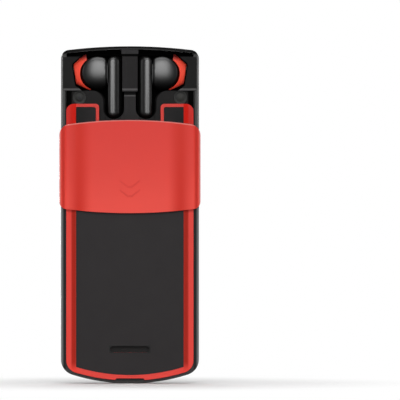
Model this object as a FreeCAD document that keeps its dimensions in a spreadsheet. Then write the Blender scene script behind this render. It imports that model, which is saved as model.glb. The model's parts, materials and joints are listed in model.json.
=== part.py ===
import FreeCAD, Part
import math
import os
import Sketcher
from FreeCAD import Placement, Rotation, Vector

# Slider phone with an earbud bay, in millimetres. +Z runs up the phone's length, the screen faces -Y, the back +Y.
# The origin is at the middle of the phone's lower end. The parting plane of the two housings is y = 0.
# The sliding cover is shown open, which is the rest position.

# A size given as text is worked out from the sizes that it names.

SIZES = [
    # Body, as it shows from the front.
    ("body_length", 134.7, "over both arched ends"),
    ("body_width", 55.2, "over the housings, without the sliding cover"),
    ("low_arch", 77.0, "radius of the arched lower end"),
    ("low_corner", 6.5, "radius of the lower corners"),
    ("top_arch", 205.0, "radius of the arched upper end"),
    ("top_corner", 3.5, "radius of the upper corners"),
    # Body, as it shows from an end.
    ("front_depth", 7.8, "parting plane to the front face"),
    ("front_round", 5.0, "radius of the long front edges"),
    ("rear_depth", 4.7, "parting plane to the rear shoulders"),
    ("rear_round", 2.5, "radius of the long rear edges"),
    # Hollow of the front housing.
    ("cavity_width", "body_width - 8", "hollow for the board, across"),
    ("cavity_depth", 5.3, "parting plane to the hollow's front"),
    ("end_wall", 2.2, "thickness of the end walls"),
    # Glass and display.
    ("glass_width", "body_width - 11.6", "display glass, across"),
    ("glass_low", 50.25, "lower edge of the display glass"),
    ("glass_rim", 1.1, "housing rim above the display glass"),
    ("glass_thick", 1.05, "thickness of the display glass"),
    ("glass_gap", 0.15, "gap round the glass"),
    ("display_width", "glass_width - 5.2", "display module, across"),
    ("display_low", 58.9, "display module, lower edge"),
    ("display_high", "body_length - 23.7", "display module, upper edge"),
    ("display_thick", 1.5, "display module, thickness"),
    ("earpiece_half", 5.85, "half the earpiece slot in the glass"),
    ("earpiece_high", "body_length - 17.95", "height of the earpiece slot"),
    ("earpiece_radius", 1.0, "radius of the earpiece slot's ends"),
    ("glass_bevel", 0.15, "bevel round the glass"),
    # Keypad.
    ("keypad_width", "body_width - 11.5", "all the keys, across"),
    ("keypad_top", 50.0, "upper edge of the soft keys"),
    ("chin", 6.45, "lower end of the phone to the lowest keys"),
    ("key_gap", 0.35, "gap between two rows of keys"),
    ("column_gap", 0.5, "gap between two columns of keys"),
    ("key_thick", 1.15, "thickness of a key cap"),
    ("key_round", 0.2, "bevel round a key cap's face"),
    ("ring_round", 0.45, "bevel round the direction ring's face"),
    ("centre_round", 0.3, "bevel round the centre key's face"),
    ("key_travel", 0.3, "how far a key goes in"),
    ("left_column", 7.4, "middle to the gap of the left column"),
    ("right_column", 7.5, "middle to the gap of the right column"),
    ("soft_row", 42.0, "lower edge of the soft keys' row"),
    ("call_row", 33.4, "lower edge of the call keys' row"),
    ("first_row", 27.0, "lower edge of the row with 1"),
    ("second_row", 20.6, "lower edge of the row with 4"),
    ("third_row", 14.2, "lower edge of the row with 7"),
    ("ring_width", 14.5, "direction ring, across"),
    ("ring_height", 13.8, "direction ring, along the phone"),
    ("ring_corner", 3.8, "direction ring, corner radius"),
    ("ring_middle", 42.05, "height of the ring's middle"),
    ("centre_width", 9.9, "centre key, across"),
    ("centre_height", 9.0, "centre key, along the phone"),
    ("centre_corner", 1.8, "centre key, corner radius"),
    # Board and what lies on it.
    ("board_front", 4.7, "parting plane to the board's front face"),
    ("board_thick", 0.8, "thickness of the board"),
    ("board_gap", 0.4, "gap from the board's long edges to the hollow"),
    ("board_end_gap", 1.0, "gap from the board's ends to the end walls"),
    ("mat_thick", 0.25, "keypad mat between its pads"),
    ("pad_width", 1.6, "pads of the keypad mat"),
    ("dome_width", 3.2, "metal domes under the keys"),
    ("dome_rise", 0.15, "height of a metal dome"),
    ("floor_thick", 0.8, "floor between the board and the battery"),
    ("floor_depth", 2.2, "parting plane to the floor's front face"),
    # Side keys.
    ("side_key_inner", "glass_width / 2 + 0.4", "middle to a side key's inner edge"),
    ("side_key_reach", 0.82, "part of the front radius that a side key covers"),
    ("side_key_thick", 1.25, "wall of a side key"),
    ("switch_post", 1.8, "height of a side key's post"),
    ("side_key_low", 50.55, "lower edge of the side keys"),
    ("side_key_high", "body_length - 2.4", "upper edge of the side keys"),
    ("side_key_split", 0.2, "gap between two side keys"),
    ("volume_split", 91.55, "height of the gap between the two volume keys"),
    ("music_low_split", 78.05, "height of the lower gap between the music keys"),
    ("music_high_split", "body_length - 29.55", "height of the upper gap between the music keys"),
    ("side_travel", 0.25, "how far a side key goes in"),
    # Rails and the sliding cover.
    ("rail_step", 0.7, "how much narrower the rear housing is under the cover"),
    ("rail_round", 2.0, "radius of the long edges under the cover"),
    ("groove_deep", 0.8, "depth of the rail groove"),
    ("groove_high", 1.35, "height of the rail groove"),
    ("slide_gap", 0.35, "running gap between the sliding cover and the body"),
    ("cover_width", "body_width + 1.2", "sliding cover, across"),
    ("cover_travel", 28.8, "how far the cover slides to close"),
    ("cover_length", 37.15, "sliding cover, along the phone"),
    ("cover_high", "body_length - cover_travel - 0.7", "sliding cover's upper end when open"),
    ("cover_low", "cover_high - cover_length", "sliding cover's lower end when open"),
    ("rail_low", "cover_low + 1.9", "shoulder where the rails begin"),
    ("cover_wall", 0.95, "wall of the sliding cover"),
    ("cover_peak", 7.8, "parting plane to the middle of the sliding cover"),
    ("cover_crown", 0.3, "rise of its raised middle panel"),
    ("cover_panel", "cover_width / 2 - 10.7", "middle to the edge of its raised middle panel"),
    ("cover_slope", 4.0, "width of the slope beside the middle panel"),
    ("cover_drop", 0.55, "height lost on that slope"),
    ("cover_shoulder", 6.8, "parting plane to its outer shoulder"),
    ("cover_round", 3.3, "radius of its long edges"),
    ("cover_top_arch", 180.0, "radius of its arched upper end"),
    ("cover_top_corner", 4.5, "radius of its upper corners"),
    ("cover_low_arch", 200.0, "radius of its arched lower end"),
    ("cover_low_corner", 3.0, "radius of its lower corners"),
    ("cover_edge", 0.3, "radius round its ends"),
    ("lip_low", "cover_low + 5.45", "lower end of the rail lips when open"),
    ("lip_length", 22.5, "length of the rail lips"),
    ("lip_thick", 0.7, "thickness of the rail lips"),
    ("lip_reach", 0.75, "how far the lips reach into the groove"),
    ("detent_low", "lip_low + lip_length - 0.7", "lower end of the detent springs"),
    ("detent_length", 7.3, "length of the detent springs"),
    ("chevron_half", 4.0, "half the width of a pressed chevron"),
    ("chevron_line", 0.75, "width of a chevron's line"),
    ("chevron_deep", 0.15, "depth of a chevron"),
    # Battery cover: red trim and dark panel.
    ("trim_width", "body_width - 4.4", "battery cover, across"),
    ("trim_low", 1.25, "battery cover's lower end"),
    ("trim_corner", 5.0, "its lower corner radius"),
    ("trim_base", 3.6, "parting plane to its underside"),
    ("trim_edge", 4.9, "parting plane to the red shoulder's outer edge"),
    ("trim_band", "trim_width / 2 - 2.1", "middle to the foot of the red slope"),
    ("trim_gap", 0.15, "gap round the battery cover"),
    ("ear_high", "body_length - 23", "upper end of the ears"),
    ("ear_inner", 12.3, "middle to an ear's inner edge"),
    ("ear_corner", 3.0, "outer corner radius of an ear"),
    ("ear_inner_corner", 1.4, "inner corner radius of an ear"),
    ("ear_rim", 1.3, "red rim round the dark panel at the ears"),
    ("ear_foot", "body_length - 32.7", "upper edge of the cover between the ears"),
    ("panel_width", "trim_width - 7.9", "dark panel, across"),
    ("panel_low", 3.45, "lower end of the dark panel"),
    ("panel_arch", 73.5, "radius of its lower end"),
    ("panel_thick", 0.6, "thickness of the dark panel"),
    ("panel_peak", 6.25, "parting plane to the middle of the dark panel"),
    ("panel_crown", 0.5, "rise of the dark panel"),
    ("panel_seat_gap", 0.05, "glue line round the dark panel"),
    ("slot_half", 7.9, "half the loudspeaker slot"),
    ("slot_middle", 13.7, "height of the loudspeaker slot"),
    ("slot_radius", 1.25, "radius of the loudspeaker slot's ends"),
    # Earbud tray.
    ("bay_width", "body_width - 4.2", "earbud bay, across"),
    ("bay_low", "body_length - 31.7", "lower end of the bay"),
    ("bay_wall", 1.1, "end wall above the bay"),
    ("tray_gap", 0.15, "gap round the tray"),
    ("tray_top", 4.6, "parting plane to the upper decks"),
    ("flange_width", "body_width - 2", "tray over the upper decks, across"),
    ("flange_foot", 3.2, "parting plane to the underside of the upper decks' edges"),
    ("tray_deck", 3.3, "parting plane to the lower decks"),
    ("tray_foot", 3.4, "parting plane to the tray's underside"),
    ("deck_high", "body_length - 17.65", "upper end of the lower decks"),
    ("pocket_floor", 2.1, "parting plane to the pockets' floor"),
    ("pocket_inner", 2.3, "middle to a stem pocket's inner wall"),
    ("pocket_outer", 10.6, "middle to a stem pocket's outer wall"),
    ("pocket_step", 0.7, "ledge along a stem pocket's outer wall"),
    ("pocket_low", "body_length - 29.05", "lower end of the stem pockets"),
    ("pocket_bend", 4.6, "radius from a stem pocket into the bulb pocket"),
    ("bridge_half", 3.05, "half the bridge between the pockets"),
    ("trough_low", "body_length - 4.3", "lower edge of the trough along the end wall"),
    ("trough_floor", 1.5, "parting plane to the trough's floor"),
    ("window_off", "bay_width / 2 - 5.3", "middle to a camera or flash window"),
    ("window_high", "deck_high - 2.85", "height of the windows"),
    ("window_radius", 2.75, "radius of the windows"),
    # Earbuds.
    ("bud_middle", 2.1, "parting plane to the middle of a bulb"),
    ("bulb_off", 13.3, "middle to a bulb's middle"),
    ("bulb_high", "body_length - 10.85", "height of the bulbs"),
    ("bulb_radius", 6.55, "radius of a bulb as it shows"),
    ("bulb_half", 3.9, "half the thickness of a bulb"),
    ("bulb_bevel", 2.3, "bevel round a bulb"),
    ("bulb_flat", 9.25, "middle to a bulb's flat side"),
    ("stem_inner", 3.2, "middle to a stem's inner side"),
    ("stem_width", 5.1, "width of a stem"),
    ("stem_low", "body_length - 28.5", "lower end of a stem"),
    ("stem_high", "body_length - 3.9", "upper end of a stem"),
    ("stem_rear", 5.6, "parting plane to a stem's outer side"),
    ("stem_front", 1.8, "parting plane to a stem's inner side"),
    ("stem_round", 1.7, "bevel along a stem's edges"),
    ("tip_off", 22.05, "middle to an ear tip's face"),
    ("tip_high", "bulb_high - 0.2", "height of an ear tip's face"),
    ("tip_tilt", 7.7, "how far an ear tip leans down, in degrees"),
    ("tip_radius", 7.2, "radius of an ear tip"),
    ("tip_face", 4.05, "radius of an ear tip's face"),
    ("tip_length", 5.6, "length of an ear tip"),
    ("tip_half", 3.45, "half the thickness of an ear tip"),
    ("tip_bevel", 2.6, "bevel round an ear tip"),
    ("tip_collar", 1.2, "straight part at an ear tip's root"),
    ("contact_width", 1.6, "charging contacts on a stem"),
    ("contact_pitch", 3.0, "distance between the two contacts"),
    ("contact_off", 5.0, "stem's lower end to the first contact"),
    ("pin_width", 0.9, "charging pins in the tray"),
    ("magnet_width", 4.0, "magnets under the earbuds"),
    # Inner pieces.
    ("battery_width", "panel_width - 3.9", "battery, across"),
    ("battery_low", 34.0, "battery, lower end"),
    ("battery_high", "bay_low - 11", "battery, upper end"),
    ("battery_front", 1.1, "parting plane to the battery's front face"),
    ("battery_rear", 4.35, "parting plane to the battery's rear face"),
    ("battery_gap", 0.5, "gap round the battery"),
    ("battery_bevel", 0.8, "bevel along the battery's edges"),
    ("port_depth", 2.6, "parting plane to the middle of the USB socket"),
    ("jack_depth", 2.4, "parting plane to the middle of the headphone jack"),
    ("jack_off", 13.0, "middle to the headphone jack"),
    ("jack_bore", 1.8, "bore radius of the headphone jack"),
    ("jack_radius", 2.1, "outer radius of the headphone jack's snout"),
    ("jack_body", 4.5, "headphone jack's body, across"),
    ("jack_low", 1.8, "mouth of the headphone jack"),
    ("jack_length", 12.6, "depth of the headphone jack's bore"),
    ("usb_width", 7.8, "USB socket, across"),
    ("usb_thick", 2.6, "USB socket, thickness"),
    ("usb_low", 0.7, "mouth of the USB socket"),
    ("usb_length", 5.6, "length of the USB socket"),
    ("usb_wall", 0.3, "wall of the USB socket"),
    ("mic_off", 7.4, "middle to the microphone hole"),
    ("mic_high", 6.1, "height of the microphone hole"),
    ("low_screw_off", 17.5, "middle to a lower housing screw"),
    ("low_screw_high", 6.2, "height of the lower housing screws"),
    ("screw_off", "cavity_width / 2 - 2.3", "middle to the other housing screws"),
    ("top_screw_high", "bay_low - 4.5", "height of the upper housing screws"),
    ("screw_radius", 0.7, "radius of a housing screw"),
    ("screw_head", 1.5, "radius of a housing screw's head"),
]

SCREW_ROWS = (("low_screw_off", "low_screw_high"), ("screw_off", "top_screw_high"))

doc = FreeCAD.newDocument("slider_phone")
sheet = doc.addObject("Spreadsheet::Sheet", "Sizes")
for row, (alias, amount, note) in enumerate(SIZES, start=1):
    sheet.set(f"A{row}", note)
    sheet.setAlias(f"B{row}", alias)
for row, (alias, amount, note) in enumerate(SIZES, start=1):
    sheet.set(f"B{row}", f"={amount}" if isinstance(amount, str) else str(amount))
doc.recompute()


class Dim:
    """A length with its value and the expression that ties it to the size sheet."""

    def __init__(self, value, text):
        self.value = value
        self.text = text

    def __add__(self, other):
        other = as_dim(other)
        return Dim(self.value + other.value, f"({self.text} + {other.text})")

    def __radd__(self, other):
        return as_dim(other) + self

    def __sub__(self, other):
        other = as_dim(other)
        return Dim(self.value - other.value, f"({self.text} - {other.text})")

    def __rsub__(self, other):
        return as_dim(other) - self

    def __mul__(self, other):
        other = as_dim(other)
        return Dim(self.value * other.value, f"({self.text} * {other.text})")

    def __rmul__(self, other):
        return as_dim(other) * self

    def __truediv__(self, other):
        other = as_dim(other)
        return Dim(self.value / other.value, f"({self.text} / {other.text})")

    def __neg__(self):
        return Dim(-self.value, f"(-1 * {self.text})")

    def root(self):
        return Dim(math.sqrt(self.value), f"sqrt({self.text})")


def as_dim(amount):
    return amount if isinstance(amount, Dim) else Dim(float(amount), f"({float(amount):.6f})")


def size(alias):
    return Dim(float(sheet.get(alias)), f"Sizes.{alias}")


def bind(thing, name, amount):
    """Ties one property to the sheet, or sets it where the amount is a plain number."""
    thing.setExpression(name, as_dim(amount).text)


# Loops: closed outlines of (across, along) points. A third entry is the radius of the arc to the next point,
# positive where the loop bulges out and negative where it bends in, for a loop that runs anticlockwise.


def rectangle(low_x, low_y, high_x, high_y):
    return [(low_x, low_y), (high_x, low_y), (high_x, high_y), (low_x, high_y)]


def rounded(low_x, low_y, high_x, high_y, radius):
    return [
        (low_x + radius, low_y),
        (high_x - radius, low_y, radius),
        (high_x, low_y + radius),
        (high_x, high_y - radius, radius),
        (high_x - radius, high_y),
        (low_x + radius, high_y, radius),
        (low_x, high_y - radius),
        (low_x, low_y + radius, radius),
    ]


def slot(low_x, high_x, middle, radius):
    """A slot with round ends, from low_x to high_x over its ends."""
    return [
        (low_x + radius, middle - radius),
        (high_x - radius, middle - radius, radius),
        (high_x, middle, radius),
        (high_x - radius, middle + radius),
        (low_x + radius, middle + radius, radius),
        (low_x, middle, radius),
    ]


def upright_slot(low_x, high_x, low, high):
    """A slot with round ends that stands along the phone."""
    radius = (high_x - low_x) / 2
    return [
        (low_x, low + radius, radius),
        (low_x + radius, low, radius),
        (high_x, low + radius),
        (high_x, high - radius, radius),
        (high_x - radius, high, radius),
        (low_x, high - radius),
    ]


def square(x, y, width):
    return rectangle(x - width / 2, y - width / 2, x + width / 2, y + width / 2)


def disc(x, y, radius):
    """A full circle, as a loop of one point: its middle and its radius."""
    return [(x, y, radius)]


def arched(half, low, high, low_arch, low_corner, high_arch, high_corner):
    """An upright outline with straight sides, arched ends and rounded corners."""
    low_reach = low_arch - low_corner
    low_x = half - low_corner
    low_rise = (low_reach * low_reach - low_x * low_x).root()
    high_reach = high_arch - high_corner
    high_x = half - high_corner
    high_rise = (high_reach * high_reach - high_x * high_x).root()
    low_side = low + low_arch - low_rise
    high_side = high - high_arch + high_rise
    low_join_x = low_x * low_arch / low_reach
    low_join_y = low + low_arch - low_rise * low_arch / low_reach
    high_join_x = high_x * high_arch / high_reach
    high_join_y = high - high_arch + high_rise * high_arch / high_reach
    return [
        (-half, low_side, low_corner),
        (-low_join_x, low_join_y, low_arch),
        (low_join_x, low_join_y, low_corner),
        (half, low_side),
        (half, high_side, high_corner),
        (high_join_x, high_join_y, high_arch),
        (-high_join_x, high_join_y, high_corner),
        (-half, high_side),
    ]


def body_outline(inset, half=None):
    """The phone's own outline, drawn in all round by inset, or to another half width."""
    half = size("body_width") / 2 - inset if half is None else half
    return arched(
        half,
        as_dim(inset),
        size("body_length") - inset,
        size("low_arch") - inset,
        size("low_corner") - inset,
        size("top_arch") - inset,
        size("top_corner") - inset,
    )


def mirrored(loop):
    """The same loop on the other side of the phone, still anticlockwise."""
    turned = []
    count = len(loop)
    for index in range(count - 1, -1, -1):
        point = loop[index]
        before = loop[index - 1]
        turned.append((-as_dim(point[0]), point[1]) + tuple(before[2:]))
    return turned


AROUND = rectangle(-200, -200, 200, 200)

# Bodies, sketches and features.


def new_body(label):
    body = doc.addObject("PartDesign::Body", label)
    body.Label = label
    return body


def sketch_on(body, role, level, loops):
    """A sketch on one of the body's own planes, at a level along that plane's normal."""
    sketch = body.newObject("Sketcher::SketchObject", body.Label + "_sketch")
    plane = [feature for feature in body.Origin.OriginFeatures if feature.Role == role][0]
    sketch.AttachmentSupport = (plane, [""])
    sketch.MapMode = "FlatFace"
    bind(sketch, "AttachmentOffset.Base.z", level)
    for loop in loops:
        draw(sketch, loop)
    if sketch.solve() != 0:
        raise RuntimeError(f"the sketch of {body.Label} doesn't solve")
    return sketch


def draw(sketch, loop):
    """Draws one loop, with each corner and each radius bound to the sheet."""
    points = [(as_dim(point[0]), as_dim(point[1])) for point in loop]
    radii = [as_dim(point[2]) if len(point) > 2 else None for point in loop]
    if len(loop) == 1:
        draw_circle(sketch, points[0], radii[0])
        return
    count = len(points)
    first = sketch.GeometryCount
    spots = [Vector(x.value, y.value, 0) for x, y in points]
    sketch.addGeometry([edge_between(spots[n], spots[(n + 1) % count], radii[n]) for n in range(count)], False)
    joins = []
    measures = []
    for index in range(count):
        following = (index + 1) % count
        start = 2 if backward(radii[index]) else 1
        end = 3 - start
        next_start = 2 if backward(radii[following]) else 1
        joins.append(Sketcher.Constraint("Coincident", first + index, end, first + following, next_start))
        for kind, amount in zip(("DistanceX", "DistanceY"), points[index]):
            measures.append((Sketcher.Constraint(kind, -1, 1, first + index, start, amount.value), amount))
        if radii[index] is not None:
            radius = -radii[index] if backward(radii[index]) else radii[index]
            measures.append((Sketcher.Constraint("Radius", first + index, radius.value), radius))
    sketch.addConstraint(joins)
    fix(sketch, measures)


def draw_circle(sketch, middle, radius):
    x, y = middle
    number = sketch.addGeometry(Part.Circle(Vector(x.value, y.value, 0), Vector(0, 0, 1), radius.value), False)
    measures = [
        (Sketcher.Constraint("DistanceX", -1, 1, number, 3, x.value), x),
        (Sketcher.Constraint("DistanceY", -1, 1, number, 3, y.value), y),
        (Sketcher.Constraint("Radius", number, radius.value), radius),
    ]
    fix(sketch, measures)


def backward(radius):
    """Whether an arc bends in, so that its sketched ends are swapped."""
    return radius is not None and radius.value < 0


def edge_between(start, end, radius):
    """A straight edge, or an arc under half a circle with its centre left of the way for a positive radius."""
    if radius is None:
        return Part.LineSegment(start, end)
    across = end - start
    half = across.Length / 2
    side = Vector(-across.y, across.x, 0).normalize()
    reach = math.sqrt(max(radius.value ** 2 - half ** 2, 0.0))
    middle = (start + end) / 2
    if radius.value > 0:
        centre = middle + side * reach
        first, last = start, end
    else:
        centre = middle - side * reach
        first, last = end, start
    circle = Part.Circle(centre, Vector(0, 0, 1), abs(radius.value))
    first_angle = math.atan2(first.y - centre.y, first.x - centre.x)
    last_angle = math.atan2(last.y - centre.y, last.x - centre.x)
    if last_angle < first_angle:
        last_angle += 2 * math.pi
    return Part.ArcOfCircle(circle, first_angle, last_angle)


def fix(sketch, measures):
    """Adds constraints, each bound to the sheet where its amount comes from there."""
    first = sketch.ConstraintCount
    sketch.addConstraint([constraint for constraint, _ in measures])
    for number, (_, amount) in enumerate(measures, start=first):
        if "Sizes" in amount.text:
            sketch.setExpression(f"Constraints[{number}]", amount.text)


# Where a span is given along Y, X or Z, the sketch lies on the plane across it: XZ, YZ or XY.

ACROSS = {"X": "YZ_Plane", "Y": "XZ_Plane", "Z": "XY_Plane"}


def add(body, axis, loops, low, high):
    """Pads the loops from low to high along an axis of the phone."""
    low, high = as_dim(low), as_dim(high)
    level = -high if axis == "Y" else low
    sketch = sketch_on(body, ACROSS[axis], level, loops)
    feature = body.newObject("PartDesign::Pad", body.Label + "_pad")
    feature.Profile = sketch
    bind(feature, "Length", high - low)
    return feature


def remove(body, axis, loops, low, high):
    """Cuts the loops out of the body from low to high along an axis of the phone."""
    low, high = as_dim(low), as_dim(high)
    level = -low if axis == "Y" else high
    sketch = sketch_on(body, ACROSS[axis], level, loops)
    feature = body.newObject("PartDesign::Pocket", body.Label + "_pocket")
    feature.Profile = sketch
    bind(feature, "Length", high - low)
    return feature


def blend_edges(body, kind, wanted, radius):
    """Rounds or chamfers the tip's edges whose middle point passes the test."""
    doc.recompute()
    base = body.Tip
    names = []
    for number, edge in enumerate(base.Shape.Edges, start=1):
        middle = edge.valueAt((edge.FirstParameter + edge.LastParameter) / 2)
        if wanted(edge, middle):
            names.append(f"Edge{number}")
    if not names:
        raise RuntimeError(f"no edge to blend on {body.Label}")
    feature = body.newObject("PartDesign::" + kind, body.Label + "_" + kind.lower())
    feature.Base = (base, names)
    bind(feature, "Radius" if kind == "Fillet" else "Size", radius)
    return feature


def box(label, low_x, high_x, low_y, high_y, low_z, high_z):
    block = doc.addObject("Part::Box", label)
    block.Label = label
    bind(block, "Length", as_dim(high_x) - low_x)
    bind(block, "Width", as_dim(high_y) - low_y)
    bind(block, "Height", as_dim(high_z) - low_z)
    bind(block, "Placement.Base.x", low_x)
    bind(block, "Placement.Base.y", low_y)
    bind(block, "Placement.Base.z", low_z)
    return block


TURNS = {
    "X": Rotation(Vector(0, 1, 0), 90),
    "Y": Rotation(Vector(1, 0, 0), -90),
    "Z": Rotation(),
}


def rod(label, axis, x, y, z, radius, length):
    """A cylinder from a point, along an axis of the phone."""
    cylinder = doc.addObject("Part::Cylinder", label)
    cylinder.Label = label
    cylinder.Placement = Placement(Vector(), TURNS[axis])
    bind(cylinder, "Radius", radius)
    bind(cylinder, "Height", length)
    bind(cylinder, "Placement.Base.x", x)
    bind(cylinder, "Placement.Base.y", y)
    bind(cylinder, "Placement.Base.z", z)
    return cylinder


def joined(label, pieces):
    group = doc.addObject("Part::MultiFuse", label)
    group.Label = label
    group.Shapes = pieces
    return group


def overlap(label, first, second):
    common = doc.addObject("Part::Common", label)
    common.Label = label
    common.Base = first
    common.Tool = second
    return common


def less(label, base, tool):
    cut = doc.addObject("Part::Cut", label)
    cut.Label = label
    cut.Base = base
    cut.Tool = tool
    return cut


def together(label, pieces):
    """Separate solids of one kind, kept under one name."""
    group = doc.addObject("Part::Compound", label)
    group.Label = label
    group.Links = pieces
    return group


nodes = {}


def keep(thing):
    nodes[thing.Label] = thing
    return thing


# Sizes that many pieces share.

half_body = size("body_width") / 2
body_length = size("body_length")
front = -size("front_depth")
glass_back = front + size("glass_thick")
cavity_front = -size("cavity_depth")
cavity_half = size("cavity_width") / 2
board_front = -size("board_front")
board_back = board_front + size("board_thick")
floor_front = -size("floor_depth")
floor_back = floor_front + size("floor_thick")
floor_inset = size("end_wall") + size("tray_gap")
floor_half = cavity_half - size("tray_gap")
rear = size("rear_depth")
rail_half = half_body - size("rail_step")
trim_half = size("trim_width") / 2
port_y = -size("port_depth")
motor_x = as_dim(-15)
motor_z = as_dim(12.5)
motor_radius = as_dim(4)
jack_y = -size("jack_depth")


def sides():
    return (("left", -1), ("right", 1))


# Front housing: the dark moulding that carries the glass, the keys and the board. It is padded from its end
# profile, cut to the arched outline, and then hollowed.


def front_housing():
    body = new_body("front_housing")
    side = size("front_round") - size("front_depth")
    profile = [
        (-half_body, 0),
        (-half_body, side, size("front_round")),
        (size("front_round") - half_body, front),
        (half_body - size("front_round"), front, size("front_round")),
        (half_body, side),
        (half_body, 0),
    ]
    add(body, "Z", [profile], 0, body_length)
    remove(body, "Y", [AROUND, body_outline(0)], front - 1, 1)
    cavity = body_outline(size("end_wall"), cavity_half)
    remove(body, "Y", [cavity], cavity_front, 1)
    glass_half = size("glass_width") / 2 + size("glass_gap")
    remove(body, "Y", [glass_loop(glass_half, size("glass_low") - size("glass_gap"), size("glass_rim"))],
           front - 1, glass_back + 0.05)
    display_half = size("display_width") / 2 + size("glass_gap")
    window = rectangle(-display_half, size("display_low") - 0.2, display_half, size("display_high") + 0.2)
    remove(body, "Y", [window], glass_back, cavity_front + 0.1)
    remove(body, "Y", [earpiece_room(size("earpiece_half") + 0.75, 3.2)], glass_back, cavity_front + 0.1)
    remove(body, "Y", [keypad_loop(-size("key_gap") / 2)], front - 1, cavity_front + 0.1)
    side_key_recesses(body)
    mic = disc(-size("mic_off"), size("mic_high"), 0.45)
    remove(body, "Y", [mic], front - 1, cavity_front + 0.1)
    usb_half = size("usb_width") / 2 + 0.2
    usb_rise = size("usb_thick") / 2 + 0.2
    usb = rounded(-usb_half, port_y - usb_rise, usb_half, port_y + usb_rise, 0.8)
    remove(body, "Z", [usb], -1, size("end_wall") + 2)
    jack = disc(size("jack_off"), jack_y, size("jack_radius") + 0.1)
    remove(body, "Z", [jack], -1, size("end_wall") + 3)
    screw_holes = [disc(x, z, size("screw_radius") + 0.1) for x, z in screw_places()]
    remove(body, "Y", screw_holes, cavity_front - 1.0, cavity_front + 0.1)
    return keep(body)


def earpiece_room(half, rise):
    middle = size("earpiece_high")
    return rectangle(-half, middle - rise, half, middle + rise)


def screw_places():
    return [(side * size(off), size(high)) for off, high in SCREW_ROWS for _, side in sides()]


def glass_loop(half, low, rim):
    """The glass or its recess: square at its foot, arched like the body at its top."""
    arch = size("top_arch") - rim
    top = body_length - size("top_arch") + (arch * arch - half * half).root()
    return [(-half, low), (half, low), (half, top, arch), (-half, top)]


def keypad_loop(inset):
    """The keypad's field: square at its top, arched like the body at its foot."""
    half = size("keypad_width") / 2 - inset
    arch = size("low_arch") - size("chin") - inset
    foot = size("low_arch") - (arch * arch - half * half).root()
    top = size("keypad_top") - inset
    return [(-half, foot, arch), (half, foot), (half, top), (-half, top)]


# Side keys: curved red strips let into the long front edges, each with a post that reaches its switch.

SIDE_KEYS = [
    ("volume_down_key", -1, "side_key_low", "volume_split"),
    ("volume_up_key", -1, "volume_split", "side_key_high"),
    ("music_back_key", 1, "side_key_low", "music_low_split"),
    ("music_play_key", 1, "music_low_split", "music_high_split"),
    ("music_next_key", 1, "music_high_split", "side_key_high"),
]

post_y = cavity_front + 0.1


def side_key_span(low_alias, high_alias):
    gap = size("side_key_split") / 2
    low = size(low_alias) if low_alias == "side_key_low" else size(low_alias) + gap
    high = size(high_alias) if high_alias == "side_key_high" else size(high_alias) - gap
    return low, high


def strip_profile(inner, outer_radius, inner_radius, reach):
    """A band of the front edge's quarter round, seen from the end, on the right side."""
    centre_x = half_body - size("front_round")
    centre_y = size("front_round") - size("front_depth")
    drop = (1 - reach * reach).root()
    return [
        (inner, centre_y - outer_radius),
        (centre_x, centre_y - outer_radius, outer_radius),
        (centre_x + outer_radius * reach, centre_y - outer_radius * drop),
        (centre_x + inner_radius * reach, centre_y - inner_radius * drop, -inner_radius),
        (centre_x, centre_y - inner_radius),
        (inner, centre_y - inner_radius),
    ]


def side_key_recesses(body):
    inner = size("glass_width") / 2 + size("glass_gap")
    depth = size("front_round") - size("side_key_thick") - size("slide_gap")
    recess = strip_profile(inner, size("front_round") + 0.5, depth, size("side_key_reach") + 0.015)
    low = size("side_key_low") - size("side_key_split")
    high = size("side_key_high") + size("side_key_split")
    for loop in (recess, mirrored(recess)):
        remove(body, "Z", [loop], low, high)
    for name, side, low_alias, high_alias in SIDE_KEYS:
        low, high = side_key_span(low_alias, high_alias)
        middle = (low + high) / 2
        rise = size("switch_post") / 2 + 0.2
        window = rectangle(post_y - 0.45, middle - rise, post_y + 0.45, middle + rise)
        if side > 0:
            remove(body, "X", [window], cavity_half - 0.5, half_body - 2.0)
        else:
            remove(body, "X", [window], 2.0 - half_body, 0.5 - cavity_half)


def side_key(name, side, low_alias, high_alias):
    body = new_body(name)
    low, high = side_key_span(low_alias, high_alias)
    depth = size("front_round") - size("side_key_thick")
    strip = strip_profile(size("side_key_inner"), size("front_round"), depth, size("side_key_reach"))
    add(body, "Z", [strip if side > 0 else mirrored(strip)], low, high)
    middle = (low + high) / 2
    rise = size("switch_post") / 2
    post = rectangle(post_y - 0.3, middle - rise, post_y + 0.3, middle + rise)
    tip = cavity_half + 0.1
    root_end = half_body - 2.1
    if side > 0:
        add(body, "X", [post], tip, root_end)
    else:
        add(body, "X", [post], -root_end, -tip)
    return keep(body)


def side_key_switches():
    switches = []
    for name, side, low_alias, high_alias in SIDE_KEYS:
        low, high = side_key_span(low_alias, high_alias)
        middle = (low + high) / 2
        outer = cavity_half - 0.2
        inner = cavity_half - 1.4
        low_x, high_x = (inner, outer) if side > 0 else (-outer, -inner)
        switches.append(box(f"{name}_switch", low_x, high_x, cavity_front + 0.05, board_front, middle - 1.5, middle + 1.5))
    return keep(together("side_key_switches", switches))


# Keypad: each key cap is a separate moulding. The lowest row follows the arched foot of the field.


def cap(label, loops, bevel=None, hole=None):
    body = new_body(label)
    add(body, "Y", loops, front, front + size("key_thick"))
    bevel = size("key_round") if bevel is None else bevel
    blend_edges(body, "Chamfer", lambda edge, middle: abs(middle.y - front.value) < 1e-4, bevel)
    if hole is not None:
        remove(body, "Y", [hole], front - 1, 0)
    return keep(body)


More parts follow.
